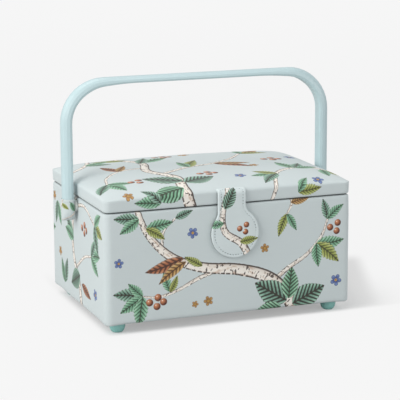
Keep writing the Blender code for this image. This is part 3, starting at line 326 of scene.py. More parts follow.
def ink_ramp(nodes, hue, inks):
    """The ink that a hue from 0 to 1 stands for."""
    node = nodes.add("ShaderNodeValToRGB", Fac=hue)
    node.color_ramp.interpolation = "CONSTANT"
    elements = node.color_ramp.elements
    for _ in inks[2:]:
        elements.new(1.0)
    for index, (element, ink) in enumerate(zip(elements, inks)):
        element.position = index / len(inks)
        element.color = (*ink, 1.0)
    return node.outputs[0]


def group_weave():
    """Plain weave: threads over and under each other, with uneven thickness."""
    nodes, given, out = new_group(
        "plain_weave",
        [("Vector", "NodeSocketVector", (0, 0, 0)), ("Pitch", "NodeSocketFloat", 0.0006)],
        [("Height", "NodeSocketFloat"), ("Shade", "NodeSocketFloat")])
    x, y, _ = nodes.split(given["Vector"])
    wobble = nodes.noise(given["Vector"], 90.0, 2.0)
    threads = []
    for along, across in ((x, y), (y, x)):
        phase = nodes.math("DIVIDE", along, given["Pitch"])
        phase = nodes.plus(phase, nodes.times(wobble, 1.5))
        thread = nodes.math("ABSOLUTE", nodes.math("SINE", nodes.times(phase, math.pi)))
        other = nodes.math("DIVIDE", across, given["Pitch"])
        over = nodes.math("SINE", nodes.times(other, math.pi))
        threads.append(nodes.times(thread, nodes.plus(0.6, nodes.times(over, 0.4))))
    height = nodes.math("MAXIMUM", *threads)
    slub = nodes.noise(nodes.vector("MULTIPLY", given["Vector"], (60.0, 900.0, 400.0)), 1.0, 1.0)
    nodes.feed(out.inputs["Height"], nodes.plus(height, nodes.times(slub, 0.4)))
    nodes.feed(out.inputs["Shade"], nodes.plus(nodes.times(height, 0.5), nodes.times(slub, 0.5)))


def group_stem():
    """A printed stem: cream with a broken bark outline and marks. Run is (offset, distance, half width)."""
    nodes, given, out = new_group(
        "printed_stem",
        [("Run", "NodeSocketVector", (0, 0, 0)), ("Light", "NodeSocketColor", (1, 1, 1, 1)),
         ("Dark", "NodeSocketColor", (0, 0, 0, 1))],
        [("Mask", "NodeSocketFloat"), ("Colour", "NodeSocketColor")])
    offset, run, width = nodes.split(given["Run"])
    rough = nodes.noise(nodes.join(nodes.times(run, 260.0), 0.0), 1.0, 2.0)
    ragged = nodes.times(nodes.minus(rough, 0.5), 0.0011)
    edge = nodes.minus(nodes.plus(width, ragged), nodes.math("ABSOLUTE", offset))
    mask = nodes.math("DIVIDE", edge, 0.0002, clamp=True)
    mask = nodes.times(mask, nodes.math("GREATER_THAN", width, 0.00005))
    side = nodes.math("DIVIDE", offset, nodes.math("MAXIMUM", width, 0.0002))
    marks = nodes.noise(nodes.join(nodes.times(run, 380.0), nodes.times(side, 1.2)), 1.0, 2.0)
    marks = nodes.step(marks, 0.575, 0.605)
    shade = nodes.step(side, 0.10, -0.95)
    tone = nodes.noise(nodes.join(nodes.times(run, 110.0), nodes.times(side, 2.0)), 1.0, 3.0)
    warm = nodes.mix(nodes.step(tone, 0.50, 0.70), given["Light"], (0.66, 0.52, 0.42))
    colour = nodes.mix(nodes.times(shade, 0.42), warm, (0.40, 0.31, 0.25))
    outline = nodes.step(nodes.math("ABSOLUTE", side), 0.66, 0.80)
    broken = nodes.noise(nodes.join(nodes.times(run, 330.0), nodes.math("SIGN", side)), 1.0, 1.0)
    lower = nodes.plus(nodes.times(nodes.math("LESS_THAN", side, 0.0), 0.20), broken)
    outline = nodes.times(outline, nodes.step(lower, 0.42, 0.50))
    dark = nodes.math("MAXIMUM", nodes.times(marks, 0.90), nodes.times(outline, 0.95))
    nodes.fill(out, Mask=mask, Colour=nodes.mix(dark, colour, given["Dark"]))


def group_leaf():
    """A printed leaf. Place is (along, across, width) in lengths; Look is (ink, tooth depth, stripes)."""
    nodes, given, out = new_group(
        "printed_leaf",
        [("Place", "NodeSocketVector", (0, 0, 0)), ("Look", "NodeSocketVector", (0, 0, 0)),
         ("Grain", "NodeSocketFloat", 0.5)],
        [("Mask", "NodeSocketFloat"), ("Colour", "NodeSocketColor")])
    along, across, ratio = nodes.split(given["Place"])
    hue, tooth, stripes = nodes.split(given["Look"])
    side = nodes.math("ABSOLUTE", across)
    u = nodes.math("MINIMUM", nodes.math("MAXIMUM", along, 0.0), 1.0)
    swell = nodes.math("SINE", nodes.times(nodes.math("POWER", u, 0.78), math.pi))
    swell = nodes.math("POWER", nodes.math("MAXIMUM", swell, 0.0), 0.88)
    teeth = nodes.step(tooth, 0.08, 0.32, 11.0, 5.2)
    wave = nodes.minus(nodes.times(u, teeth), nodes.times(side, 1.6))
    wave = nodes.math("ABSOLUTE", nodes.math("SINE", nodes.times(wave, math.pi)))
    notch = nodes.times(nodes.minus(1.0, wave), tooth)
    half = nodes.times(nodes.times(ratio, 0.5), swell)
    half = nodes.times(half, nodes.minus(1.0, notch))
    edge = nodes.minus(half, side)
    mask = nodes.math("DIVIDE", nodes.minus(edge, 0.003), 0.012, clamp=True)
    share = nodes.math("DIVIDE", side, nodes.math("MAXIMUM", half, 0.004))
    light = ink_ramp(nodes, hue, LIGHT_INKS)
    dark = ink_ramp(nodes, hue, DARK_INKS)
    vein_run = nodes.times(nodes.minus(u, nodes.times(side, 0.95)), 8.0)
    vein = nodes.math("ABSOLUTE", nodes.minus(nodes.math("FRACT", vein_run), 0.5))
    fine = nodes.step(vein, 0.05, 0.17, 1.0, 0.0)
    broad = nodes.times(nodes.step(vein, 0.10, 0.34, 1.0, 0.0), stripes)
    rib = nodes.step(side, 0.008, 0.026, 1.0, 0.0)
    body = nodes.plus(nodes.times(share, 0.75), nodes.minus(given["Grain"], 0.42))
    between = nodes.times(nodes.minus(vein, 0.22), 1.3)
    colour = nodes.mix(nodes.plus(body, between, clamp=True), dark, light)
    pale = nodes.mix(0.5, light, (0.60, 0.78, 0.66))
    tips = nodes.times(nodes.step(share, 0.45, 0.95), 0.35)
    colour = nodes.mix(tips, colour, pale)
    colour = nodes.mix(broad, colour, nodes.mix(0.75, dark, (0.02, 0.02, 0.015)))
    lines = nodes.math("MAXIMUM", rib, nodes.times(fine, 0.70))
    lines = nodes.math("MAXIMUM", lines, nodes.step(edge, 0.006, 0.026, 0.75, 0.0))
    nodes.fill(out, Mask=mask, Colour=nodes.mix(lines, colour, nodes.mix(0.7, dark, (0.05, 0.03, 0.02))))


def group_bloom():
    """A printed berry or blossom. Place is (x, y, kind) in radii; Look is (ink, turn, 0)."""
    nodes, given, out = new_group(
        "printed_bloom",
        [("Place", "NodeSocketVector", (0, 0, 0)), ("Look", "NodeSocketVector", (0, 0, 0)),
         ("Grain", "NodeSocketFloat", 0.5)],
        [("Mask", "NodeSocketFloat"), ("Colour", "NodeSocketColor")])
    x, y, kind = nodes.split(given["Place"])
    hue, turn, _ = nodes.split(given["Look"])
    radius = nodes.distance(x, y)
    light = ink_ramp(nodes, hue, LIGHT_INKS)
    dark = ink_ramp(nodes, hue, DARK_INKS)
    is_berry = nodes.math("COMPARE", kind, float(BERRY), 0.4)
    is_blossom = nodes.math("COMPARE", kind, float(BLOSSOM), 0.4)
    berry_mask = nodes.math("DIVIDE", nodes.minus(0.97, radius), 0.09, clamp=True)
    from_glint = nodes.distance(nodes.plus(x, 0.30), nodes.minus(y, 0.34))
    berry = nodes.mix(nodes.step(from_glint, 0.15, 1.15), light, dark)
    berry = nodes.mix(nodes.step(from_glint, 0.10, 0.26, 0.75, 0.0), berry, (0.90, 0.78, 0.68))
    crown = nodes.distance(nodes.minus(x, 0.38), nodes.plus(y, 0.52))
    berry = nodes.mix(nodes.step(crown, 0.10, 0.22, 0.9, 0.0), berry, (0.03, 0.02, 0.015))
    angle = nodes.plus(nodes.math("ARCTAN2", y, x), turn)
    petal = nodes.math("ABSOLUTE", nodes.math("COSINE", nodes.times(angle, 2.5)))
    reach = nodes.plus(0.42, nodes.times(nodes.math("POWER", petal, 0.55), 0.55))
    petal_edge = nodes.minus(reach, radius)
    blossom_mask = nodes.math("DIVIDE", petal_edge, 0.05, clamp=True)
    streak = nodes.math("SINE", nodes.times(angle, 25.0))
    tone = nodes.plus(nodes.times(radius, 0.9), nodes.times(streak, 0.14))
    tone = nodes.plus(tone, nodes.minus(given["Grain"], 0.6), clamp=True)
    blossom = nodes.mix(tone, dark, light)
    blossom = nodes.mix(nodes.step(petal_edge, 0.05, 0.16, 0.85, 0.0), blossom,
                        nodes.mix(0.6, dark, (0.02, 0.02, 0.04)))
    blossom = nodes.mix(nodes.step(radius, 0.17, 0.26, 1.0, 0.0), blossom, (0.62, 0.36, 0.07))
    blossom = nodes.mix(nodes.step(radius, 0.05, 0.12, 0.8, 0.0), blossom, (0.10, 0.05, 0.02))
    mask = nodes.plus(nodes.times(is_berry, berry_mask), nodes.times(is_blossom, blossom_mask), clamp=True)
    nodes.fill(out, Mask=mask, Colour=nodes.mix(is_blossom, berry, blossom))


def group_wear():
    """Fine scratches and dull patches for plastic and metal."""
    nodes, given, out = new_group(
        "handling_wear",
        [("Vector", "NodeSocketVector", (0, 0, 0)), ("Scale", "NodeSocketFloat", 1.0)],
        [("Patches", "NodeSocketFloat"), ("Scratches", "NodeSocketFloat"), ("Grain", "NodeSocketFloat")])
    place = nodes.vector("SCALE", given["Vector"])
    nodes.feed(place.node.inputs["Scale"], given["Scale"])
    patches = nodes.noise(place, 22.0, 3.0, 0.55)
    stretched = nodes.vector("MULTIPLY", place, (900.0, 60.0, 60.0))
    scratches = nodes.step(nodes.noise(stretched, 1.0, 1.0), 0.64, 0.70)
    nodes.fill(out, Patches=patches, Scratches=scratches, Grain=nodes.noise(place, 1400.0, 2.0, 0.6))


# Materials


def shaded(colour, factor):
    """A colour made darker or lighter."""
    return tuple(min(1.0, level * factor) for level in colour)


def new_material(name, **fixed):
    """A material with a Principled shader. fixed are plain numbers for its sockets."""
    material = bpy.data.materials.new(name)
    material.use_nodes = True
    shader = material.node_tree.nodes["Principled BSDF"]
    for key, value in fixed.items():
        shader.inputs[key.replace("_", " ")].default_value = value
    return material, Nodes(material.node_tree), shader


def bump(nodes, shader, height, strength, distance):
    node = nodes.add("ShaderNodeBump", Height=height, Strength=strength, Distance=distance)
    nodes.feed(shader.inputs["Normal"], node.outputs[0])


def attribute(nodes, name):
    return nodes.add("ShaderNodeAttribute", {"attribute_name": name}).outputs["Vector"]


def material_printed_cloth(settings, name="printed_cloth", painted_light=1.0):
    """Duck-egg cotton with the branch print, laid from the mesh's own motif coordinates, with painted shade
    where other pieces close it in.
    """
    material, nodes, shader = new_material(name, Roughness=0.82, Sheen_Weight=0.12, Sheen_Roughness=0.6,
                                           Specular_IOR_Level=0.25)
    plane = attribute(nodes, "cloth")
    tone = nodes.noise(plane, 9.0, 3.0)
    weave = use_group(nodes, "plain_weave", Vector=plane, Pitch=settings.thread_pitch)
    # Painted light: painted_light above 1 makes a lighter copy of the cloth, as for the flap
    ground = shaded(settings.ground, painted_light)
    colour = nodes.mix(nodes.times(tone, 0.5), shaded(ground, 1.03), shaded(ground, 0.95))
    grain = nodes.noise(plane, 420.0, 3.0, 0.6)
    for layer in range(STEM_LAYERS):
        stem = use_group(nodes, "printed_stem", Run=attribute(nodes, f"stem_{layer}"),
                         Light=(*settings.cream, 1.0), Dark=(*settings.bark, 1.0))
        colour = nodes.mix(stem["Mask"], colour, stem["Colour"])
    for kind, count in (("leaf", LEAF_LAYERS), ("bloom", BLOOM_LAYERS)):
        for layer in range(count):
            motif = use_group(nodes, f"printed_{kind}", Place=attribute(nodes, f"{kind}_{layer}_place"),
                              Look=attribute(nodes, f"{kind}_{layer}_look"), Grain=grain)
            colour = nodes.mix(motif["Mask"], colour, motif["Colour"])
    colour = nodes.mix(nodes.times(weave["Shade"], 0.10), colour, (0.30, 0.32, 0.33))
    # Painted shade: the cloth's colour is darkened where other pieces close it in, as at the seam between
    # body and lid
    occlusion = nodes.add("ShaderNodeAmbientOcclusion", {"samples": 6}, Distance=3 * MM)
    painted_shade_share = nodes.step(occlusion.outputs["AO"], 0.10, 0.62, settings.seam_painted_shade, 0.0)
    colour = nodes.mix(painted_shade_share, colour, (0.030, 0.034, 0.036))
    nodes.feed(shader.inputs["Base Color"], colour)
    nodes.feed(shader.inputs["Roughness"], nodes.step(weave["Shade"], 0.2, 0.8, 0.90, 0.76))
    bump(nodes, shader, weave["Height"], 0.35, 0.00016)
    return material


def material_lining(settings):
    """Plain off-white cotton."""
    material, nodes, shader = new_material("lining_cloth", Roughness=0.9, Sheen_Weight=0.15,
                                           Sheen_Roughness=0.7, Specular_IOR_Level=0.2)
    place = nodes.place()
    turned = nodes.join(nodes.vector("DOT_PRODUCT", place, (0.8, 0.6, 0.31)),
                        nodes.vector("DOT_PRODUCT", place, (-0.37, 0.2, 0.91)))
    weave = use_group(nodes, "plain_weave", Vector=turned, Pitch=0.0008)
    colour = tuple(settings.lining)
    mixed = nodes.mix(weave["Shade"], shaded(colour, 0.86), colour)
    mixed = nodes.mix(nodes.times(nodes.noise(place, 14.0, 3.0), 0.25), mixed, shaded(colour, 0.88))
    nodes.feed(shader.inputs["Base Color"], mixed)
    bump(nodes, shader, weave["Height"], 0.5, 0.0002)
    return material


def material_plastic(name, colour, roughness, coat=0.0):
    """Moulded plastic with a faint grain, dull patches and hairline scratches."""
    material, nodes, shader = new_material(name, Roughness=roughness, Coat_Weight=coat, Coat_Roughness=0.18)
    place = nodes.place()
    wear = use_group(nodes, "handling_wear", Vector=place, Scale=1.0)
    shade = nodes.mix(nodes.times(wear["Patches"], 0.5), shaded(colour, 1.04), shaded(colour, 0.92))
    shade = nodes.mix(nodes.times(wear["Scratches"], 0.10), shade, shaded(colour, 1.3))
    nodes.feed(shader.inputs["Base Color"], shade)
    rough = nodes.plus(roughness - 0.06, nodes.times(wear["Patches"], 0.12))
    rough = nodes.plus(rough, nodes.times(wear["Scratches"], 0.10))
    nodes.feed(shader.inputs["Roughness"], rough)
    bump(nodes, shader, wear["Grain"], 0.10, 0.00006)
    return material


def material_metal(name, colour, roughness):
    """Plated steel with a brushed grain and a few dull spots."""
    material, nodes, shader = new_material(name, Roughness=roughness, Metallic=1.0)
    place = nodes.place()
    wear = use_group(nodes, "handling_wear", Vector=place, Scale=3.0)
    shade = nodes.mix(nodes.step(wear["Patches"], 0.4, 0.7), colour, shaded(colour, 0.72))
    nodes.feed(shader.inputs["Base Color"], shade)
    rough = nodes.plus(roughness, nodes.times(wear["Scratches"], 0.22))
    nodes.feed(shader.inputs["Roughness"], nodes.plus(rough, nodes.times(wear["Patches"], 0.1)))
    bump(nodes, shader, wear["Grain"], 0.12, 0.00004)
    return material


def material_fibre(name, light, dark, scale, roughness=0.9):
    """Pressed fibres, for board, card, wadding and elastic."""
    material, nodes, shader = new_material(name, Roughness=roughness, Specular_IOR_Level=0.2)
    place = nodes.place()
    fibres = nodes.noise(nodes.vector("MULTIPLY", place, (1.0, 1.7, 0.6)), scale, 4.0, 0.7)
    specks = nodes.step(nodes.noise(place, scale * 3.0, 1.0), 0.60, 0.70)
    colour = nodes.mix(nodes.step(fibres, 0.35, 0.68), light, dark)
    colour = nodes.mix(nodes.times(specks, 0.5), colour, shaded(dark, 0.55))
    nodes.feed(shader.inputs["Base Color"], colour)
    nodes.feed(shader.inputs["Roughness"], nodes.step(fibres, 0.3, 0.7, roughness - 0.08, roughness))
    bump(nodes, shader, fibres, 0.4, 0.0002)
    return material


def make_materials(cloth, hard):
    """All finishes by name. Those of CAD nodes are named as their slots."""
    for build in (group_weave, group_stem, group_leaf, group_bloom, group_wear):
        build()
    return {
        "printed_cloth": material_printed_cloth(cloth),
        # Painted light: the flap's cloth is the printed cloth made lighter
        "flap_cloth": material_printed_cloth(cloth, "flap_cloth", cloth.flap_painted_light),
        "lining_cloth": material_lining(hard),
        "board": material_fibre("board", (0.46, 0.34, 0.21), (0.30, 0.20, 0.11), 500.0),
        "foam": material_fibre("foam", (0.80, 0.78, 0.70), (0.66, 0.63, 0.54), 260.0),
        "handle_plastic": material_plastic("handle_plastic", tuple(hard.handle), 0.34, coat=0.25),
        "foot_plastic": material_plastic("foot_plastic", tuple(hard.foot), 0.36, coat=0.2),
        "tray_plastic": material_plastic("tray_plastic", tuple(hard.tray), 0.42, coat=0.1),
        "plated_steel": material_metal("plated_steel", (0.62, 0.61, 0.58), 0.28),
        "magnet": material_metal("magnet", (0.30, 0.30, 0.31), 0.45),
        "card": material_fibre("card", (0.42, 0.38, 0.31), (0.30, 0.26, 0.20), 380.0),
        "elastic": material_fibre("elastic", (0.66, 0.72, 0.70), (0.48, 0.55, 0.53), 900.0),
        "washer_plastic": material_plastic("washer_plastic", (0.66, 0.69, 0.67), 0.45),
        "thread": material_fibre("thread", (0.62, 0.71, 0.73), (0.46, 0.56, 0.58), 1500.0, 0.8),
        # Painted shade: a dark finish for the discs that stand for the shade in the needle holes
        "needle_hole_shade": material_fibre("needle_hole_shade", (0.10, 0.12, 0.12), (0.03, 0.04, 0.04), 1500.0),
    }


# The print


class Artwork:
    """Motifs laid out on a flat cloth. Lengths are in millimetres."""

    def __init__(self, seed):
        self.stems = []
        self.leaves = []
        self.blooms = []
        self.chance = random.Random(seed)

    def stem(self, points, layer=1):
        """points are (x, y, half width)."""
        self.stems.append((np.array(points, float) * MM, layer))

    def leaf(self, x, y, angle, length, ratio, ink, tooth=0.12, stripes=0.0, bend=0.0):
        self.leaves.append((x * MM, y * MM, math.radians(angle), length * MM, ratio, ink, tooth, stripes,
                            bend))

    def bloom(self, x, y, radius, kind, ink, turn=0.0):
        self.blooms.append((x * MM, y * MM, radius * MM, kind, ink, turn))

    def blossom(self, x, y, radius, ink, turn):
        self.bloom(x, y, radius, BLOSSOM, ink, turn)

    def spray(self, x, y, angle, length, pairs, ink, curve, leaf=20):
        """A curved stalk with pairs of leaflets and one at its tip."""
        stations = []
        heading = angle
        here = Vector((x, y))
        step = length / (pairs + 1)
        for index in range(pairs + 2):
            stations.append((here.copy(), heading))
            here += Vector((math.cos(math.radians(heading)), math.sin(math.radians(heading)))) * step
            heading += curve / (pairs + 1)
        self.stem([(p.x, p.y, 0.75 - 0.35 * index / (pairs + 1)) for index, (p, _) in enumerate(stations)], 0)
        for index, (place, turn) in enumerate(stations[1:-1]):
            size = leaf * (0.82 + 0.18 * math.sin(math.pi * (index + 1) / (pairs + 1)))
            for side in (-1, 1):
                jitter = self.chance.uniform(-6, 6)
                self.leaf(place.x, place.y, turn + side * (52 + jitter), size, 0.42, ink, 0.2, 0.0,
                          -side * 0.05)
        last, turn = stations[-1]
        self.leaf(last.x, last.y, turn, leaf * 1.1, 0.42, ink, 0.2)

    def fan(self, x, y, leaves, ratio=0.5, tooth=0.2, stripes=0.0):
        """Leaves that spring from one place, each given as (angle, length, ink)."""
        for angle, length, ink in leaves:
            self.leaf(x, y, angle, length, ratio, ink, tooth, stripes, self.chance.uniform(-0.05, 0.05))

    def berries(self, x, y, radius, places):
        """A bunch of berries at places given in radii, each on a short stalk."""
        for across, up in places:
            self.stem([(x, y, 0.45), (x + across * radius * 0.8, y + up * radius * 0.8, 0.35)], 0)
            self.bloom(x + across * radius, y + up * radius, radius, BERRY, RUST)


# Places of the berries in a bunch, in radii, and the width of a broad leaf for its length
BUNCH = ((-1.3, -0.2), (0.9, 0.9), (0.6, -1.3), (2.3, -0.3))
BROAD = 0.66


def smooth_path(points, per_span=9):
    """A smooth curve through the points, with their half widths."""
    padded = np.vstack((2 * points[0] - points[1], points, 2 * points[-1] - points[-2]))
    path = []
    for index in range(len(points) - 1):
        a, b, c, d = padded[index:index + 4]
        for step in range(per_span):
            t = step / per_span
            path.append(0.5 * (2 * b + (c - a) * t + (2 * a - 5 * b + 4 * c - d) * t * t
                               + (3 * b - a - 3 * c + d) * t ** 3))
    path.append(points[-1])
    return np.array(path)


def follow(path, places):
    """Offset from a path, distance along it and its half width, for each place."""
    start = path[:-1, :2]
    span = path[1:, :2] - start
    length = np.maximum(np.linalg.norm(span, axis=1), 1e-9)
    before = np.concatenate(([0.0], np.cumsum(length)[:-1]))
    away = places[:, None, :] - start[None]
    share = (away * span).sum(2) / length ** 2
    low = np.zeros(len(span))
    high = np.ones(len(span))
    low[0], high[-1] = -1e3, 1e3
    held = np.clip(share, low, high)
    gap = away - held[..., None] * span
    distance = np.linalg.norm(gap, axis=2)
    best = distance.argmin(1)
    rows = np.arange(len(places))
    cross = span[best, 0] * away[rows, best, 1] - span[best, 1] * away[rows, best, 0]
    held = held[rows, best]
    width = path[best, 2] + (path[best + 1, 2] - path[best, 2]) * np.clip(held, 0, 1)
    beyond = np.maximum(0, held - 1) * length[best] + np.maximum(0, -held) * length[best]
    width = width - beyond * STEM_TAPER
    run = before[best] + held * length[best]
    return np.where(cross < 0, -1, 1) * distance[rows, best], run, width


def lay_print(mesh, plane, artwork):
    """Store each motif's own coordinates on the face corners that it covers. plane is faces x 4 x 2."""
    count = len(plane)
    centre = plane.mean(1)
    reach = np.linalg.norm(plane - centre[:, None], axis=2).max(1)
    stems = np.zeros((STEM_LAYERS, count, 4, 3), np.float32)
    nearest = np.full((STEM_LAYERS, count), np.inf)
    for points, layer in artwork.stems:
        path = smooth_path(points)
        margin = path[:, 2].max() + 4 * MM
        low, high = path[:, :2].min(0) - margin, path[:, :2].max(0) + margin
        chosen = np.flatnonzero(((centre > low) & (centre < high)).all(1))
        if not len(chosen):
            continue
        offset, run, width = follow(path, plane[chosen].reshape(-1, 2))
        score = (np.abs(offset) - width).reshape(-1, 4).min(1)
        take = (score < reach[chosen] + 0.6 * MM) & (score < nearest[layer, chosen])
        faces = chosen[take]
        stems[layer, faces] = np.stack((offset, run, width), 1).reshape(-1, 4, 3)[take]
        nearest[layer, faces] = score[take]
    lay_motifs(mesh, "leaf", LEAF_LAYERS, plane, centre, reach, artwork.leaves, leaf_coordinates)
    lay_motifs(mesh, "bloom", BLOOM_LAYERS, plane, centre, reach, artwork.blooms, bloom_coordinates)
    for layer in range(STEM_LAYERS):
        store(mesh, f"stem_{layer}", stems[layer])


def leaf_coordinates(leaf, places):
    """A leaf's own coordinates of some places, its look, and how far outside it they are."""
    x, y, angle, length, ratio, ink, tooth, stripes, bend = leaf
    away = places - (x, y)
    along = (away[..., 0] * math.cos(angle) + away[..., 1] * math.sin(angle)) / length
    across = (away[..., 1] * math.cos(angle) - away[..., 0] * math.sin(angle)) / length
    across = across - bend * 4 * along * (1 - along)
    look = ((ink + 0.5) / len(LIGHT_INKS), tooth, stripes)
    outside = np.maximum(np.abs(along - 0.5) - 0.5, np.abs(across) - ratio / 2) * length
    return np.stack((along, across, np.full_like(along, ratio)), -1), look, outside


def bloom_coordinates(bloom, places):
    """The same for a berry or blossom."""
    x, y, radius, kind, ink, turn = bloom
    away = (places - (x, y)) / radius
    outside = (np.linalg.norm(away, axis=-1) - 1) * radius
    place = np.stack((away[..., 0], away[..., 1], np.full(away.shape[:-1], float(kind))), -1)
    return place, ((ink + 0.5) / len(LIGHT_INKS), turn, 0.0), outside


def lay_motifs(mesh, kind, layers, plane, centre, reach, motifs, coordinates):
    """Give each motif the first layer where its faces are free."""
    count = len(plane)
    place = np.zeros((layers, count, 4, 3), np.float32)
    look = np.zeros((layers, count, 4, 3), np.float32)
    taken = np.zeros((layers, count), bool)
    for motif in motifs:
        _, facts, outside = coordinates(motif, centre)
        faces = np.flatnonzero(outside < reach)
        if not len(faces):
            continue
        crowd = [taken[layer, faces].sum() for layer in range(layers)]
        layer = int(np.argmin(crowd))
        faces = faces[~taken[layer, faces]]
        place[layer, faces] = coordinates(motif, plane[faces])[0]
        look[layer, faces] = facts
        taken[layer, faces] = True
    for layer in range(layers):
        store(mesh, f"{kind}_{layer}_place", place[layer])
        store(mesh, f"{kind}_{layer}_look", look[layer])


def store(mesh, name, values):
    """Keep three numbers for each corner of each face."""
    layer = mesh.attributes.new(name, "FLOAT_VECTOR", "CORNER")
    layer.data.foreach_set("vector", np.ascontiguousarray(values, np.float32).ravel())


def front_artwork():
    """The print on the body. x runs round the box from the middle of the front, y from the base up."""
    art = Artwork(3)
    # front: one thick stem that rises from the lower right to the upper left
    art.stem([(72, -14, 7.6), (60, 12, 7.2), (40, 32, 6.6), (8, 43, 6.1), (-28, 48, 5.5), (-58, 59, 4.7),
              (-80, 78, 4.0), (-93, 100, 3.3), (-99, 124, 2.8)])
    art.stem([(-12, 45, 2.4), (-34, 38, 2.1), (-56, 28, 1.7), (-76, 23, 1.4), (-92, 25, 1.0)], 0)
    art.stem([(44, 27, 2.8), (62, 40, 2.4), (82, 52, 2.0), (98, 70, 1.6), (106, 92, 1.1)], 0)
    art.stem([(-72, 70, 1.8), (-70, 88, 1.4), (-58, 100, 1.0)], 0)
    art.fan(-92, 25, ((172, 31, GREEN), (212, 28, MINT), (262, 32, MINT), (136, 21, MINT)))
    art.fan(-64, 27, ((108, 22, MINT), (64, 18, OLIVE)), 0.46)
    art.berries(-80, 19, 4.0, BUNCH)
    art.leaf(60, 6, 148, 41, BROAD, GREEN, 0.08, 0.9)
    art.leaf(66, 2, 24, 39, BROAD, GREEN, 0.08, 0.9)
    art.leaf(62, 8, 84, 33, 0.60, MINT, 0.08, 0.8)
    art.leaf(54, 0, 188, 30, 0.60, MINT, 0.08, 0.8)
    art.fan(92, 62, ((4, 31, MINT), (-40, 33, OLIVE), (-84, 25, MINT)))
    art.fan(104, 86, ((104, 22, GREEN), (38, 23, MINT)), 0.46)
    art.berries(112, 78, 3.8, BUNCH[:3])
    art.leaf(-50, 60, 196, 42, 0.32, RUST, 0.05, 0.5, 0.04)
    art.leaf(-47, 56, 216, 36, 0.30, OCHRE, 0.05, 0.4, -0.04)
    art.leaf(-30, 50, 150, 22, 0.40, OLIVE, 0.14)
    art.fan(-88, 92, ((10, 29, MINT), (-32, 23, OLIVE)), 0.46)
    art.fan(-95, 102, ((176, 26, GREEN), (214, 24, MINT)), 0.5)
    art.leaf(-58, 100, 20, 20, 0.44, GREEN, 0.16)
    art.stem([(60, 124, 1.7), (65, 106, 1.4), (58, 92, 1.0)], 0)
    art.fan(60, 95, ((-112, 25, OLIVE), (-60, 21, MINT)), 0.42)
    art.leaf(64, 106, 12, 22, 0.42, OCHRE, 0.05, 0.4)
    art.blossom(-40, 84, 6.0, BLUE, 0.4)
    art.blossom(-116, 60, 5.2, BLUE, 1.1)
    art.blossom(114, 22, 6.6, BLUE, 0.2)
    art.blossom(36, 62, 5.0, OCHRE, 0.9)
    art.blossom(-24, 14, 5.4, OCHRE, 0.6)
    art.blossom(-38, 12, 3.8, OCHRE, 0.1)
    # left side
    art.stem([(-206, -14, 4.4), (-214, 20, 4.0), (-232, 46, 3.5), (-234, 78, 3.0), (-214, 126, 2.4)])
    art.stem([(-224, 36, 2.0), (-196, 52, 1.6), (-172, 58, 1.2)], 0)
    art.stem([(-222, 100, 2.2), (-192, 104, 1.7), (-160, 92, 1.3)], 0)
    art.fan(-172, 58, ((10, 30, MINT), (52, 26, GREEN), (-34, 28, MINT)))
    art.fan(-160, 92, ((-20, 27, OLIVE), (-66, 31, GREEN), (34, 24, MINT)))
    art.fan(-232, 64, ((140, 33, GREEN), (168, 30, MINT)), 0.5, 0.14)
    art.fan(-230, 92, ((152, 31, MINT), (112, 26, OLIVE)), 0.46)
    art.leaf(-212, 30, 206, 34, BROAD, GREEN, 0.08, 0.9)
    art.leaf(-206, 22, -16, 32, 0.34, RUST, 0.05, 0.6)
    art.blossom(-160, 22, 6.4, BLUE, 0.5)
    art.berries(-196, 82, 3.8, BUNCH)
    art.blossom(-282, 40, 5.6, OCHRE, 0.2)
    art.fan(-266, 10, ((70, 30, GREEN), (116, 27, MINT)), 0.5, 0.1, 0.7)
    art.fan(-290, 92, ((-60, 28, MINT), (-104, 26, GREEN)))
    # right side and back repeat the idea in other turns
    for base, flip, reach in ((218, 1, 42), (352, -1, 26), (-352, 1, 24)):
        art.stem([(base, -14, 5.4), (base + 10 * flip, 22, 5.0), (base - 8 * flip, 54, 4.4),
                  (base - 2 * flip, 86, 3.8), (base + 22 * flip, 124, 3.0)])
        art.stem([(base, 44, 2.2), (base + reach / 2 * flip, 58, 1.8), (base + reach * flip, 60, 1.2)], 0)
        tip = 0 if flip > 0 else 180
        art.fan(base + reach * flip, 60, ((tip + 4, 30, MINT), (tip - 44 * flip, 30, OLIVE),
                                          (tip + 46 * flip, 26, GREEN)))
        art.fan(base - 6 * flip, 62, ((180 - tip - 30 * flip, 34, GREEN), (180 - tip + 10 * flip, 30, MINT)))
        art.leaf(base - 4 * flip, 84, 180 - tip - 12 * flip, 30, 0.44, OLIVE, 0.18)
        art.leaf(base + 4 * flip, 26, tip - 20 * flip, 36, BROAD, GREEN, 0.08, 0.9)
        art.leaf(base + 4 * flip, 22, 180 - tip, 34, 0.32, RUST, 0.05, 0.6)
        art.berries(base + 22 * flip, 34, 3.8, BUNCH)
        art.blossom(base - 44 * flip, 26, 6.4, BLUE, 0.6)
        art.blossom(base + 52 * flip, 96, 5.6, OCHRE, 0.1)
    # middle of the back
    art.spray(404, 20, 84, 66, 4, MINT, 24)
    art.berries(424, 88, 3.8, BUNCH)
    art.spray(-404, 104, -84, 62, 4, GREEN, -26)
    art.leaf(-424, 38, 30, 30, 0.32, RUST, 0.05, 0.6)
    art.blossom(-428, 22, 6.0, OCHRE, 0.3)
    return art


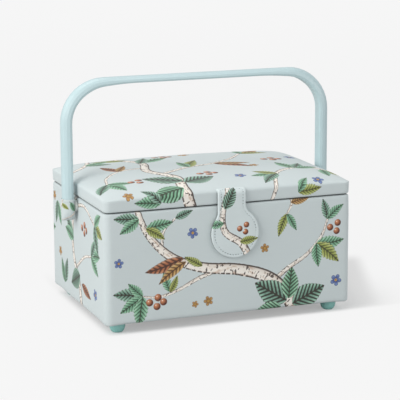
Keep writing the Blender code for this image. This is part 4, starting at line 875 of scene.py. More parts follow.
def lid_artwork():
    """The print on the lid's cloth. x and y are the lid's own, and run on down its sides."""
    art = Artwork(8)
    art.stem([(-36, -120, 6.4), (-46, -86, 6.0), (-42, -48, 5.6), (-58, -10, 5.0), (-50, 30, 4.5),
              (-66, 66, 3.8), (-62, 110, 3.2)])
    art.stem([(-46, -28, 3.2), (-14, -6, 2.8), (16, 2, 2.4), (44, 22, 2.1), (66, 50, 1.6)], 0)
    art.stem([(-52, 6, 2.4), (-82, 2, 2.1), (-104, -20, 1.7), (-112, -46, 1.3)], 0)
    art.stem([(134, -60, 3.8), (108, -40, 3.4), (84, -44, 3.0), (60, -64, 2.5), (44, -104, 2.1)])
    art.stem([(-134, 34, 3.4), (-112, 44, 3.0), (-98, 66, 2.5), (-92, 104, 2.1)])
    art.fan(66, 50, ((40, 40, OCHRE), (4, 34, OLIVE), (84, 30, MINT)), 0.38, 0.1, 0.3)
    art.fan(-112, -46, ((-70, 32, MINT), (-120, 30, GREEN), (-24, 26, MINT)))
    art.leaf(-40, -66, 150, 42, BROAD, GREEN, 0.08, 0.9)
    art.leaf(-40, -70, 20, 38, BROAD, GREEN, 0.08, 0.8)
    art.leaf(-46, -84, 196, 36, 0.60, MINT, 0.08, 0.8)
    art.fan(-12, -6, ((60, 38, OLIVE), (96, 30, MINT)), 0.42, 0.14, 0.2)
    art.leaf(18, 2, -40, 44, 0.32, RUST, 0.05, 0.5, 0.04)
    art.leaf(20, 4, -14, 38, 0.32, OCHRE, 0.05, 0.4, -0.04)
    art.fan(90, -44, ((104, 36, MINT), (62, 32, GREEN), (20, 30, MINT)), 0.46)
    art.fan(61, -64, ((186, 30, MINT), (226, 32, GREEN), (146, 26, OLIVE)), 0.46)
    art.fan(118, -48, ((-60, 30, OLIVE), (-100, 30, MINT)), 0.46)
    art.leaf(-52, 34, 30, 44, 0.4, MINT, 0.2)
    art.leaf(-52, 30, 66, 36, 0.42, GREEN, 0.2)
    art.leaf(-60, 56, 160, 38, 0.42, OLIVE, 0.16)
    art.fan(-104, 54, ((20, 30, MINT), (-24, 28, GREEN)), 0.48)
    art.leaf(-84, 0, 110, 34, 0.34, RUST, 0.05, 0.6)
    art.leaf(-86, 0, 60, 30, 0.34, OCHRE, 0.05, 0.5)
    art.berries(84, 12, 4.4, BUNCH)
    art.berries(-8, -42, 4.2, BUNCH)
    art.berries(-20, 62, 4.2, BUNCH)
    art.berries(-84, -52, 4.0, BUNCH[:3])
    art.blossom(22, -62, 6.6, BLUE, 0.3)
    art.blossom(112, 22, 7.0, BLUE, 0.8)
    art.blossom(96, -86, 6.6, BLUE, 0.1)
    art.blossom(-104, -88, 6.0, OCHRE, 0.7)
    art.blossom(8, 66, 7.0, OCHRE, 0.4)
    art.blossom(-24, 86, 6.4, BLUE, 0.9)
    art.blossom(54, -20, 5.6, OCHRE, 0.2)
    art.fan(72, -98, ((8, 26, OLIVE), (50, 22, MINT)), 0.42, 0.16)
    art.fan(-72, -98, ((176, 28, MINT), (140, 24, GREEN)), 0.44, 0.16)
    return art


def flap_artwork():
    """The print on the flap. x is across, y runs down from the fold as negative numbers."""
    art = Artwork(5)
    art.stem([(20, -72, 4.4), (10, -52, 4.0), (-8, -38, 3.6), (-9, -14, 3.0), (2, 18, 2.4)])
    art.leaf(-8, -16, 62, 24, 0.56, GREEN, 0.1, 0.8)
    art.leaf(-9, -30, 186, 18, 0.5, MINT, 0.16)
    art.leaf(8, -50, 8, 20, 0.46, OLIVE, 0.16)
    art.berries(12, -36, 3.2, BUNCH[:3])
    return art


def sleeve_artwork():
    """The print on the handle's cloth sleeves: a thin twig that comes back round the bar."""
    art = Artwork(6)
    for turn in (-40, -20, 0, 20, 40):
        art.stem([(turn - 12, -14, 1.5), (turn - 3, -4, 1.3), (turn + 3, 6, 1.1), (turn + 10, 22, 0.9)])
        art.leaf(turn - 2, -2, 118, 12, 0.5, MINT, 0.16)
        art.leaf(turn + 3, 6, -34, 10, 0.5, OLIVE, 0.16)
    return art


# Mesh helpers


def new_piece(name, verts, faces, material, body=None):
    """A mesh piece that rides on a body and takes one of the finishes."""
    mesh = bpy.data.meshes.new(name)
    mesh.from_pydata([tuple(v) for v in verts], [], [tuple(int(i) for i in f) for f in faces])
    mesh.shade_smooth()
    mesh.materials.append(finishes[material])
    obj = bpy.data.objects.new(name, mesh)
    bpy.context.scene.collection.objects.link(obj)
    if body:
        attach(obj, body)
    return obj


def lay_cloth(obj, verts_plane, faces, artwork, period=None):
    """Give a cloth piece its flat coordinates and its print."""
    plane = np.asarray(verts_plane, float)[np.asarray(faces)]
    if period:
        wide = plane[..., 0].max(1) - plane[..., 0].min(1) > period / 2
        part = plane[wide]
        part[..., 0] = np.where(part[..., 0] < 0, part[..., 0] + period, part[..., 0])
        plane[wide] = part
    store(obj.data, "cloth", np.concatenate((plane, np.zeros((*plane.shape[:2], 1))), 2))
    lay_print(obj.data, plane, artwork)


def arc(centre, radius, start, end, steps):
    """Points on an arc, with its angles in degrees."""
    angles = [math.radians(start + (end - start) * step / steps) for step in range(steps + 1)]
    return [(centre[0] + radius * math.cos(a), centre[1] + radius * math.sin(a)) for a in angles]


def span(node):
    """A CAD node's low and high corners, its middle, and half its width and depth."""
    low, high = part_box(node)
    return low, high, (low + high) / 2, (high.x - low.x) / 2, (high.y - low.y) / 2


class BoxLoop:
    """Points round a rounded rectangle, anticlockwise, that keep their order at any inset."""

    def __init__(self, half_x, half_y, radius, step, corner_steps=6):
        self.sizes = (half_x, half_y, radius)
        self.steps = (corner_steps, max(1, round(2 * (half_x - radius) / step)),
                      max(1, round(2 * (half_y - radius) / step)))
        outer = np.array(self.points(0.0))
        after = np.roll(outer, -1, axis=0)
        length = np.linalg.norm(after - outer, axis=1)
        run = np.concatenate(([0.0], np.cumsum(length)[:-1]))
        self.period = length.sum()
        run -= half_x + (math.pi / 2 - 1) * radius
        self.run = np.where(run > self.period / 2, run - self.period, run)

    def points(self, inset):
        half_x, half_y, radius = self.sizes
        corner_steps, long_steps, short_steps = self.steps
        round_off = max(radius - inset, 0.0003)
        x, y = half_x - inset - round_off, half_y - inset - round_off
        corners = (((-x, -y), 180, long_steps), ((x, -y), 270, short_steps), ((x, y), 0, long_steps),
                   ((-x, y), 90, short_steps))
        loop = []
        for index, (centre, start, steps) in enumerate(corners):
            loop += arc(centre, round_off, start, start + 90, corner_steps)
            following, next_start, _ = corners[(index + 1) % 4]
            target = arc(following, round_off, next_start, next_start, 1)[0]
            last = loop[-1]
            for step in range(1, steps):
                share = step / steps
                loop.append((last[0] + (target[0] - last[0]) * share,
                             last[1] + (target[1] - last[1]) * share))
        return loop

    def normals(self):
        outer = np.array(self.points(0.0))
        tangent = np.roll(outer, -1, axis=0) - np.roll(outer, 1, axis=0)
        tangent /= np.linalg.norm(tangent, axis=1)[:, None]
        return np.stack((tangent[:, 1], -tangent[:, 0]), 1)


def ring_faces(rows, columns, offset=0):
    """Faces between closed rows, from the first to the last, looking out when the rows go down."""
    faces = []
    for row in range(rows - 1):
        for column in range(columns):
            after = (column + 1) % columns
            upper, lower = offset + row * columns, offset + (row + 1) * columns
            faces.append((upper + column, lower + column, lower + after, upper + after))
    return faces


def grid_faces(rows, columns, offset=0, flip=False):
    """Faces of a grid of points that lie in rows. flip turns them over."""
    faces = []
    for row in range(rows - 1):
        for column in range(columns - 1):
            first = offset + row * columns + column
            corners = (first, first + 1, first + columns + 1, first + columns)
            faces.append((corners[0], *corners[:0:-1]) if flip else corners)
    return faces


def waves(point, height, scale=24.0):
    """A slow, even waviness."""
    return height * noise.noise(Vector(point) * scale)


def rounded_profile(radius, steps=4):
    """(inset, drop) points of a rounded edge, from its level face to its upright face."""
    return [(radius * (1 - math.sin(a)), radius * (1 - math.cos(a)))
            for a in (math.pi / 2 * step / steps for step in range(steps + 1))]


def spread(start, end, step):
    """Evenly spaced numbers from start to end, both included."""
    count = max(1, round(abs(end - start) / step))
    return [start + (end - start) * index / count for index in range(count + 1)]


# The box's cloth


def make_body_cloth(settings):
    """One cloth round the walls, turned over their tops and under the base."""
    low, high, middle, half_x, half_y = span("body_cover")
    loop = BoxLoop(half_x, half_y, settings.corner_radius, settings.mesh_step)
    lining_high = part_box("body_lining")[1]
    wall = half_x - lining_high.x + 0.8 * MM
    top, bottom = settings.top_edge_radius, settings.bottom_edge_radius
    profile = [(wall, lining_high.z - 2 * MM), (wall, high.z - 0.8 * MM), (wall - 0.5 * MM, high.z)]
    profile += [(inset, high.z) for inset in spread(wall - 1.5 * MM, top + 1 * MM, 1.5 * MM)]
    profile += [(inset, high.z - settings.seam_gap - drop) for inset, drop in rounded_profile(top)]
    edge = high.z - settings.seam_gap - top
    profile += [(0.0, z) for z in spread(edge, low.z + bottom, settings.mesh_step)[1:-1]]
    profile += [(inset, low.z + drop) for inset, drop in reversed(rounded_profile(bottom))]
    under = 30 * MM
    profile += [(inset, low.z) for inset in spread(bottom, under, 4.5 * MM)[1:]]
    heights = [0.0]
    for (inset, z), (next_inset, next_z) in zip(profile, profile[1:]):
        heights.append(heights[-1] - math.hypot(next_inset - inset, next_z - z))
    base = heights[-1] + under
    normals = loop.normals()
    verts, plane = [], []
    for (inset, z), height in zip(profile, heights):
        near_base = max(0.0, 1 - (z - low.z) / (14 * MM)) * max(0.0, 1 - inset / (11 * MM))
        near_seam = max(0.0, 1 - (high.z - z) / (24 * MM)) ** 1.6 if inset < top + 0.1 * MM else 0.0
        for (x, y), (nx, ny), run in zip(loop.points(inset), normals, loop.run):
            push = waves((x, y, z), settings.waviness) if inset < 1 * MM else 0.0
            push -= settings.seam_lean * near_seam
            from_corner = math.hypot(half_x - abs(x), half_y - abs(y))
            sag = settings.corner_sag * near_base * max(0.0, 1 - from_corner / (24 * MM)) ** 1.5
            verts.append((x + middle.x + nx * push, y + middle.y + ny * push, z - sag))
            plane.append((run, height - base))
    faces = ring_faces(len(profile), len(loop.run))
    obj = new_piece("body_cloth", verts, faces, "printed_cloth", "body")
    lay_cloth(obj, plane, faces, front_artwork(), loop.period)
    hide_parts("body_cover")


def crown_lines(half, step):
    """Grid lines across the lid, closer together towards its edges."""
    edge = [inset * MM for inset in (0.0, 0.12, 0.45, 1.0, 1.8, 2.9, 4.3, 7.0)]
    inner = spread(-(half - edge[-1]), half - edge[-1], step)[1:-1]
    return [-(half - inset) for inset in edge] + inner + [half - inset for inset in reversed(edge)]


def corner_place(x, y, half_x, half_y, radius):
    """Bend the corner squares of a plain grid into quarter circles."""
    right, back = abs(x) - (half_x - radius), abs(y) - (half_y - radius)
    if right <= 0 or back <= 0:
        return x, y
    reach = max(right, back)
    turn = math.pi / 4 * (back / right) if right >= back else math.pi / 2 - math.pi / 4 * (right / back)
    new_x = half_x - radius + reach * math.cos(turn)
    new_y = half_y - radius + reach * math.sin(turn)
    return math.copysign(new_x, x), math.copysign(new_y, y)


def crown_rise(x, y, half_x, half_y):
    """Rise of the padding as a share of its full height, as in the CAD model."""
    return (max(0.0, 1 - abs(x / half_x) ** 4) * max(0.0, 1 - abs(y / half_y) ** 4)) ** 0.5


def make_lid_cloth(settings):
    """Cloth stretched over the padded lid, down its sides and in under them."""
    low, high, middle, half_x, half_y = span("lid_cover")
    radius = settings.corner_radius
    edge_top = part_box("lid_pad")[0].z + RIM_RISE
    crown = high.z - edge_top
    xs, ys = crown_lines(half_x, settings.mesh_step), crown_lines(half_y, settings.mesh_step)
    verts, plane = [], []
    for y in ys:
        for x in xs:
            place_x, place_y = corner_place(x, y, half_x, half_y, radius)
            rise = crown * crown_rise(place_x, place_y, half_x, half_y)
            rise += waves((place_x, place_y, 0.0), settings.waviness * 2.0, 18.0)
            verts.append((place_x + middle.x, place_y + middle.y, edge_top + rise))
            plane.append((place_x, place_y))
    columns = len(xs)
    faces = grid_faces(len(ys), columns)
    last = len(ys) - 1
    border = list(range(columns - 1)) + [row * columns + columns - 1 for row in range(last)]
    border += [last * columns + c for c in range(columns - 1, 0, -1)]
    border += [row * columns for row in range(last, 0, -1)]
    under = low.z + settings.seam_gap
    rim = [(0.0, z) for z in spread(edge_top, under + settings.top_edge_radius, 1.8 * MM)[1:-1]]
    rim += [(inset, under + drop) for inset, drop in reversed(rounded_profile(settings.top_edge_radius))]
    tucked = 7.0 * MM
    rim += [(inset, low.z) for inset in spread(settings.top_edge_radius, tucked, 1.8 * MM)[1:]]
    rim += [(tucked, low.z + 1.5 * MM)]
    start = len(verts)
    drop, before = 0.0, (0.0, edge_top)
    for inset, z in rim:
        drop += math.hypot(inset - before[0], z - before[1])
        before = (inset, z)
        for index in border:
            x, y = plane[index]
            over_x, over_y = abs(x) - (half_x - radius), abs(y) - (half_y - radius)
            if over_x > 1e-6 and over_y > 1e-6:
                away = Vector((math.copysign(over_x, x), math.copysign(over_y, y))).normalized()
            elif over_x > over_y:
                away = Vector((math.copysign(1.0, x), 0.0))
            else:
                away = Vector((0.0, math.copysign(1.0, y)))
            push = waves((x, y, z), settings.waviness) if inset < 1 * MM else 0.0
            lean = settings.seam_lean * max(0.0, min(1.0, (edge_top - z) / (edge_top - low.z)))
            held = min(inset + lean, radius - 0.2 * MM) if over_x > 0 and over_y > 0 else inset + lean
            verts.append((x + middle.x - away.x * (held - push), y + middle.y - away.y * (held - push), z))
            plane.append((x + away.x * drop, y + away.y * drop))
    count = len(border)
    rows = [border] + [[start + row * count + c for c in range(count)] for row in range(len(rim))]
    for upper, lower in zip(rows, rows[1:]):
        for c in range(count):
            after = (c + 1) % count
            faces.append((upper[c], lower[c], lower[after], upper[after]))
    obj = new_piece("lid_cloth", verts, faces, "printed_cloth", "lid")
    lay_cloth(obj, plane, faces, lid_artwork())
    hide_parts("lid_cover", "lid_pad")


# Plain cloth pieces


def make_soft_slab(name, node, edge, corner, wave):
    """A thin slab of lining cloth that stands for a CAD node, with rounded edges."""
    low, high, middle, half_x, half_y = span(node)
    edge = min(edge, (high.z - low.z) / 2)
    step = 4 * MM
    loop = BoxLoop(half_x, half_y, corner, step, 4)
    deepest = min(half_x, half_y) * 0.94
    insets = spread(deepest, edge, max(step, deepest / 12))
    profile = [(inset, high.z) for inset in insets[:-1]]
    profile += [(inset, high.z - drop) for inset, drop in rounded_profile(edge, 3)]
    profile += [(inset, low.z + drop) for inset, drop in reversed(rounded_profile(edge, 3))]
    profile += [(inset, low.z) for inset in reversed(insets[:-1])]
    verts = []
    for inset, z in profile:
        for x, y in loop.points(inset):
            lift = waves((x, y, z), wave, 60.0)
            verts.append((x + middle.x, y + middle.y, z + lift))
    count = len(loop.run)
    faces = ring_faces(len(profile), count)
    faces.append(tuple(range(count)))
    faces.append(tuple(reversed(range((len(profile) - 1) * count, len(profile) * count))))
    obj = new_piece(name, verts, faces, "lining_cloth", "body")
    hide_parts(node)


def make_body_lining(settings):
    """Lining of the box: a rolled hem at the top, walls with a soft ripple, and the floor."""
    low, high, middle, half_x, half_y = span("body_lining")
    wall = 0.8 * MM
    floor = low.z + wall
    loop = BoxLoop(half_x - wall, half_y - wall, 2.0 * MM, 3.2 * MM, 5)
    profile = [(-0.3 * MM, high.z + 0.1 * MM), (0.1 * MM, high.z + 0.25 * MM), (0.45 * MM, high.z - 0.1 * MM),
               (0.5 * MM, high.z - 1.2 * MM), (0.4 * MM, high.z - 2.6 * MM), (0.05 * MM, high.z - 3.2 * MM)]
    profile += [(0.0, z) for z in spread(high.z - 4.4 * MM, floor + 2.2 * MM, 3.2 * MM)]
    profile += [(0.6 * MM, floor + 0.6 * MM), (2.0 * MM, floor)]
    profile += [(inset, floor) for inset in spread(6 * MM, (half_y - wall) * 0.96, 6 * MM)]
    verts = []
    normals = loop.normals()
    for row, (inset, z) in enumerate(profile):
        for (x, y), (nx, ny) in zip(loop.points(inset), normals):
            push = waves((x, y, z), settings.waviness * 1.4, 30.0) if 6 < row < len(profile) - 12 else 0.0
            verts.append((x + middle.x + nx * push, y + middle.y + ny * push, z))
    count = len(loop.run)
    faces = [tuple(reversed(f)) for f in ring_faces(len(profile), count)]
    faces.append(tuple(range((len(profile) - 1) * count, len(profile) * count)))
    obj = new_piece("body_lining_cloth", verts, faces, "lining_cloth", "body")
    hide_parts("body_lining")


def make_lid_lining(settings):
    """Lining under the lid, with its edge rolled over the rims."""
    low, high, middle, half_x, half_y = span("lid_lining")
    wall = 0.8 * MM
    ceiling = high.z - wall
    loop = BoxLoop(half_x - wall, half_y - wall, 2.0 * MM, 3.2 * MM, 5)
    profile = [(-0.35 * MM, low.z - 0.5 * MM), (0.1 * MM, low.z - 0.55 * MM), (0.35 * MM, low.z - 0.1 * MM),
               (0.3 * MM, low.z + 0.9 * MM), (0.3 * MM, ceiling - 0.8 * MM), (1.0 * MM, ceiling)]
    profile += [(inset, ceiling) for inset in spread(4 * MM, (half_y - wall) * 0.96, 6 * MM)]
    verts = []
    for row, (inset, z) in enumerate(profile):
        for x, y in loop.points(inset):
            lift = waves((x, y, z), settings.waviness, 30.0) if row > 5 else 0.0
            verts.append((x + middle.x, y + middle.y, z + max(-0.1 * MM, lift)))
    count = len(loop.run)
    faces = ring_faces(len(profile), count)
    faces.append(tuple(reversed(range((len(profile) - 1) * count, len(profile) * count))))
    obj = new_piece("lid_lining_cloth", verts, faces, "lining_cloth", "lid")
    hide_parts("lid_lining")


def make_pincushion():
    """Stuffed cushion under the lid: full in the middle, drawn in between its corners and piped."""
    low, high, middle, half_x, half_y = span("pincushion")
    height, side = high.z - low.z, 1.0 * MM
    xs, ys = crown_lines(half_x, 2.4 * MM), crown_lines(half_y, 2.4 * MM)
    columns = len(xs)

    def drawn_in(u, v):
        """Place on the cushion, whose edges curve in between its corners. u and v run from -1 to 1."""
        return (u * half_x * (1 - 0.045 * (1 - v * v) * abs(u)),
                v * half_y * (1 - 0.06 * (1 - u * u) * abs(v)))

    verts, plane = [], []
    for sign in (-1, 1):
        for y in ys:
            for x in xs:
                u, v = x / half_x, y / half_y
                across, along = drawn_in(u, v)
                full = max(0.0, (1 - abs(u) ** 3) * (1 - abs(v) ** 3)) ** 0.55
                pucker = 0.25 * MM * math.sin(x / (2.6 * MM)) * (1 - full) * full * 4
                pucker += 0.25 * MM * math.sin(y / (2.4 * MM)) * (1 - full) * full * 4
                if sign < 0:
                    z = high.z - side - (height - side) * full + pucker
                else:
                    z = high.z - side + side * min(1.0, full * 2)
                verts.append((across + middle.x, along + middle.y, z))
                plane.append((x, y + (0.2 if sign > 0 else 0.0)))
    faces = grid_faces(len(ys), columns, flip=True) + grid_faces(len(ys), columns, columns * len(ys))
    art = Artwork(12)
    art.stem([(-34, -26, 1.4), (-14, -8, 1.2), (10, -2, 1.0), (34, 20, 0.8)])
    art.leaf(-12, -8, 80, 18, 0.48, MINT, 0.16)
    art.leaf(12, -2, -50, 17, 0.48, GREEN, 0.12, 0.7)
    art.leaf(24, 10, 100, 14, 0.46, OLIVE, 0.14)
    art.blossom(-20, 14, 4.6, BLUE, 0.4)
    art.berries(2, 14, 2.4, BUNCH)
    obj = new_piece("pincushion_pad", verts, faces, "printed_cloth", "lid")
    lay_cloth(obj, plane, faces, art)
    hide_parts("pincushion")
    rope = []
    steps = 240
    for index in range(steps):
        share = index / steps * 4
        edge, run = int(share), (share % 1) * 2 - 1
        x, y = drawn_in(*((run, -1), (1, run), (-run, 1), (-1, -run))[edge])
        rope.append(Vector((x * 1.004 + middle.x, y * 1.004 + middle.y, high.z - side)))
    make_piping("pincushion_piping", rope, 0.75 * MM)


def make_piping(name, points, radius):
    """A closed round cord of lining cloth along points that lie level."""
    verts, faces = [], []
    sides = 8
    count = len(points)
    for index, point in enumerate(points):
        along = (points[(index + 1) % count] - points[index - 1]).normalized()
        out = Vector((along.y, -along.x, 0.0))
        for side in range(sides):
            angle = 2 * math.pi * side / sides
            verts.append(point + out * math.cos(angle) * radius + Vector((0, 0, math.sin(angle) * radius)))
    for index in range(count):
        for side in range(sides):
            after, beside = (index + 1) % count, (side + 1) % sides
            faces.append((index * sides + side, after * sides + side, after * sides + beside,
                          index * sides + beside))
    new_piece(name, verts, faces, "lining_cloth", "lid")


def make_lid_pocket():
    """Gathered pocket under the lid."""
    low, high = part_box("lid_pocket")
    verts = []
    xs, ys = spread(low.x, high.x, 1.5 * MM), spread(low.y, high.y, 3.0 * MM)
    for y in ys:
        for x in xs:
            share = (y - low.y) / (high.y - low.y)
            edge = min(x - low.x, high.x - x, high.y - y) / (5 * MM)
            held = max(0.0, min(1.0, edge))
            fold = math.sin(x / (2.1 * MM) + 1.3 * math.sin(y / (21 * MM))) * (0.35 + 0.65 * (1 - share))
            sag = (1.6 + 0.9 * fold) * MM * held
            verts.append((x, y, high.z - 0.35 * MM - sag))
    faces = grid_faces(len(ys), len(xs), flip=True)
    pocket = new_piece("lid_pocket_cloth", verts, faces, "lining_cloth", "lid")
    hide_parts("lid_pocket")


def make_pocket_elastic():
    """Ruffled elastic along the pocket's mouth."""
    low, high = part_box("pocket_elastic")
    middle, half = (low + high) / 2, (high - low) / 2
    verts = []
    ring = arc((0, 0), 1.0, 0, 330, 11)
    xs = spread(low.x, high.x, 0.7 * MM)
    for x in xs:
        ruffle = 0.28 * MM * math.sin(x / (0.9 * MM))
        for across, up in ring:
            verts.append((x, middle.y + across * (half.y + ruffle), middle.z + up * half.z - abs(ruffle)))
    count = len(ring)
    faces = ring_faces(len(xs), count)
    faces.append(tuple(reversed(range(count))))
    faces.append(tuple(range((len(xs) - 1) * count, len(xs) * count)))
    elastic = new_piece("pocket_elastic_band", verts, faces, "elastic", "lid")
    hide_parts("pocket_elastic")


# Flap


# Distances in millimetres from the flap's edge at which its mesh has lines
FLAP_EDGE_INSETS = (0.0, 0.08, 0.28, 0.60, 1.05, 1.6, 2.2, 2.8, 3.3, 3.9, 4.7)


class FlapShape:
    """The keyhole flap, drawn flat and then laid over the lid's front edge and down the box."""

    def __init__(self, settings):
        low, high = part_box("flap_facing")
        anchor_low, anchor_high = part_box("flap_anchor")
        lid_low, lid_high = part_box("lid_cover")
        self.radius = (high.x - low.x) / 2
        self.offset = (high.x + low.x) / 2
        self.neck = (anchor_high.x - anchor_low.x) / 2
        self.fillet = 12 * MM
        self.fold = anchor_low.z
        self.disc = low.z + self.radius - self.fold
        self.end = settings.strap_length
        self.thickness = settings.thickness
        self.dive = settings.strap_dive
        self.seam_inset, self.seam_depth = settings.seam_inset, settings.seam_depth
        self.front_y = low.y
        self.path = self.strap_path(lid_low, lid_high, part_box("lid_pad")[0].z + RIM_RISE)
        self.outline = np.array(self.keyhole(0.0, 40))

    def flare(self, side):
        """Where the neck starts to flare on one side: its height above the disc's middle and its angle."""
        reach = self.neck + self.fillet - side * self.offset
        rise = math.sqrt((self.radius + self.fillet) ** 2 - reach ** 2)
        return rise, math.degrees(math.atan2(rise, reach))

    def keyhole(self, inset, steps):
        """Outline in (x, distance above the fold), clockwise from the strap's right end."""
        neck, radius, fillet = self.neck - inset, self.radius - inset, self.fillet + inset
        (right_rise, right_turn), (left_rise, left_turn) = self.flare(1), self.flare(-1)
        right = [(neck, t) for t in spread(self.end - inset, self.disc + right_rise, 1 * MM)[:-1]]
        right += arc((neck + fillet, self.disc + right_rise), fillet, 180, 180 + right_turn, steps // 4)
        disc = arc((self.offset, self.disc), radius, right_turn, -180 - left_turn, steps * 2)
        left = arc((-neck - fillet, self.disc + left_rise), fillet, -left_turn, 0, steps // 4)
        left += [(-neck, t) for t in spread(self.disc + left_rise, self.end - inset, 1 * MM)[1:]]
        return right + disc[1:-1] + left

    def edge_at(self, t, side):
        """Place of the outline across the flap, on one side, at a distance above the fold."""
        rise, _ = self.flare(side)
        joint = self.disc + self.radius * rise / (self.radius + self.fillet)
        if t >= self.disc + rise:
            return side * self.neck
        if t >= joint:
            across = math.sqrt(max(0.0, self.fillet ** 2 - (t - self.disc - rise) ** 2))
            return side * (self.neck + self.fillet - across)
        return self.offset + side * math.sqrt(max(0.0, self.radius ** 2 - (t - self.disc) ** 2))

    def strap_path(self, low, high, edge_top):
        """Middle of the strap's thickness as (t, y, z), from below the fold to past the strap's end."""
        half = (high.y - low.y) / 2
        crown = high.z - edge_top
        lift = self.thickness / 2 + 0.35 * MM

        def surface(inset):
            return Vector((low.y + inset, edge_top + crown * crown_rise(0, half - inset, half, half)))

        middle = self.front_y + self.thickness / 2
        points = [Vector((middle, edge_top - 3 * MM)), Vector((middle, edge_top - 1 * MM)),
                  Vector((middle + 0.45 * MM, edge_top + 1.0 * MM))]
        for inset in (1.3, 2.6, 4.2, 6.5, 9.5, 13.0, 17.0, 22.0, 30.0):
            here = surface(inset * MM)
            along = (surface((inset + 0.5) * MM) - surface((inset - 0.5) * MM)).normalized()
            sunk = min(1.0, inset * MM / self.dive)
            points.append(here + Vector((-along.y, along.x)) * (lift - sunk * (lift + 0.6 * self.thickness)))
        smooth = smooth_path(np.array([(p.x, p.y, 0.0) for p in points]), 12)[:, :2]
        length = np.concatenate(([0.0], np.cumsum(np.linalg.norm(np.diff(smooth, axis=0), axis=1))))
        fold_at = np.interp(self.fold, smooth[:, 1], length)
        return np.column_stack((length - fold_at, smooth))

    def place(self, x, t, off):
        """Point in space for a flat place, pushed out from the middle of the thickness."""
        ts, ys, zs = self.path.T
        if t <= ts[0]:
            y, z, normal = ys[0], zs[0] + (t - ts[0]), Vector((-1.0, 0.0))
        else:
            y, z = np.interp(t, ts, ys), np.interp(t, ts, zs)
            ahead, behind = t + 0.4 * MM, max(ts[0], t - 0.4 * MM)
            along = Vector((np.interp(ahead, ts, ys) - np.interp(behind, ts, ys),
                            np.interp(ahead, ts, zs) - np.interp(behind, ts, zs))).normalized()
            normal = Vector((-along.y, along.x))
        return Vector((x, y + normal.x * off, z + normal.y * off))

    def edge_distance(self, places):
        start = self.outline
        span = np.roll(start, -1, axis=0) - start
        away = places[:, None] - start[None]
        share = np.clip((away * span).sum(2) / np.maximum((span ** 2).sum(1), 1e-12), 0, 1)
        return np.linalg.norm(away - share[..., None] * span, axis=2).min(1)

    def front_offset(self, distance):
        """How far the face stands out from the middle of the thickness."""
        half = self.thickness / 2
        rounding = 0.95 * MM
        share = min(1.0, distance / rounding)
        edge = math.sqrt(max(0.0, 1 - (1 - share) ** 2))
        groove = self.seam_depth * math.exp(-((distance - self.seam_inset) / (0.5 * MM)) ** 2)
        full = min(1.0, max(0.0, (distance - self.seam_inset) / (5 * MM)))
        return half * (0.90 * edge + 0.10 * full) - groove

    def rows(self):
        edge = [inset * MM for inset in FLAP_EDGE_INSETS]
        bottom = self.disc - self.radius
        high = self.disc + self.flare(1)[0]
        low = self.disc + self.radius * self.flare(-1)[0] / (self.radius + self.fillet)
        rows = [self.end - inset for inset in edge]
        rows += spread(rows[-1], high, 1.6 * MM)[1:]
        rows += spread(high, low, 1.2 * MM)[1:]
        top_angle = math.asin((low - self.disc) / self.radius)
        low_angle = math.asin((bottom + edge[-1] + 1.0 * MM - self.disc) / self.radius)
        angles = spread(top_angle, low_angle, 0.085)[1:]
        rows += [self.disc + self.radius * math.sin(angle) for angle in angles]
        return rows + [bottom + max(inset, 0.02 * MM) for inset in reversed(edge)]


def make_flap(shape):
    """Padded flap in one piece with its strap. It bends where the strap leaves the lid."""
    edge = [inset * MM for inset in FLAP_EDGE_INSETS]
    inner_columns = 18
    grid = []
    for t in shape.rows():
        start, end = shape.edge_at(t, -1), shape.edge_at(t, 1)
        squeeze = min(1.0, (end - start) / (22 * MM))
        left = [start + inset * squeeze for inset in edge]
        right = [end - inset * squeeze for inset in reversed(edge)]
        middle = spread(left[-1], right[0], (right[0] - left[-1]) / inner_columns)[1:-1]
        grid.append([(x, t) for x in left + middle + right])
    columns = len(grid[0])
    flat = np.array([place for row in grid for place in row])
    distance = shape.edge_distance(flat)
    last_row = len(grid) - 1
    verts, plane, index = [], [], {}
    for side in (0, 1):
        for number, ((x, t), gap) in enumerate(zip(flat, distance)):
            row, column = divmod(number, columns)
            border = row in (0, last_row) or column in (0, columns - 1)
            if side and border:
                index[1, row, column] = index[0, row, column]
                continue
            off = shape.front_offset(0.0 if border else gap)
            if side:
                off = -min(abs(off), shape.thickness / 2)
            elif not border:
                off += waves((x, t, 0.0), 0.18 * MM, 90.0)
            index[side, row, column] = len(verts)
            verts.append(shape.place(x, t, off))
            plane.append((x, t))
    faces = []
    for side in (0, 1):
        for row in range(last_row):
            for column in range(columns - 1):
                corners = [(side, row, column), (side, row + 1, column), (side, row + 1, column + 1),
                           (side, row, column + 1)]
                face = tuple(index[c] for c in corners)
                faces.append(face if side == 0 else tuple(reversed(face)))
    obj = new_piece("flap_cloth", verts, faces, "flap_cloth")
    lay_cloth(obj, plane, faces, flap_artwork())
    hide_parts("flap_facing", "flap_backing", "flap_anchor")
    bend_at_fold(obj)


def bend_at_fold(obj):
    """Bake the piece's place into its mesh."""
    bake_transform(obj)


def make_stitches(name, stations, length, thickness):
    """Short threads laid on (point, direction, normal) stations, as one mesh."""
    verts, faces = [], []
    sides = 6
    for point, along, normal in stations:
        across = along.cross(normal).normalized()
        base = len(verts)
        for share, swell in ((-0.5, 0.15), (-0.38, 0.8), (0.0, 1.0), (0.38, 0.8), (0.5, 0.15)):
            dip = normal * (-thickness * 0.9 * abs(share * 2) ** 2)
            for side in range(sides):
                angle = 2 * math.pi * side / sides
                out = across * math.cos(angle) + normal * math.sin(angle)
                verts.append(point + along * length * share + dip + out * thickness * swell)
        for ring in range(4):
            for side in range(sides):
                a, b = base + ring * sides + side, base + ring * sides + (side + 1) % sides
                faces.append((a, b, b + sides, a + sides))
        faces.append(tuple(reversed(range(base, base + sides))))
        faces.append(tuple(range(base + 4 * sides, base + 5 * sides)))
    return new_piece(name, verts, faces, "thread", None)


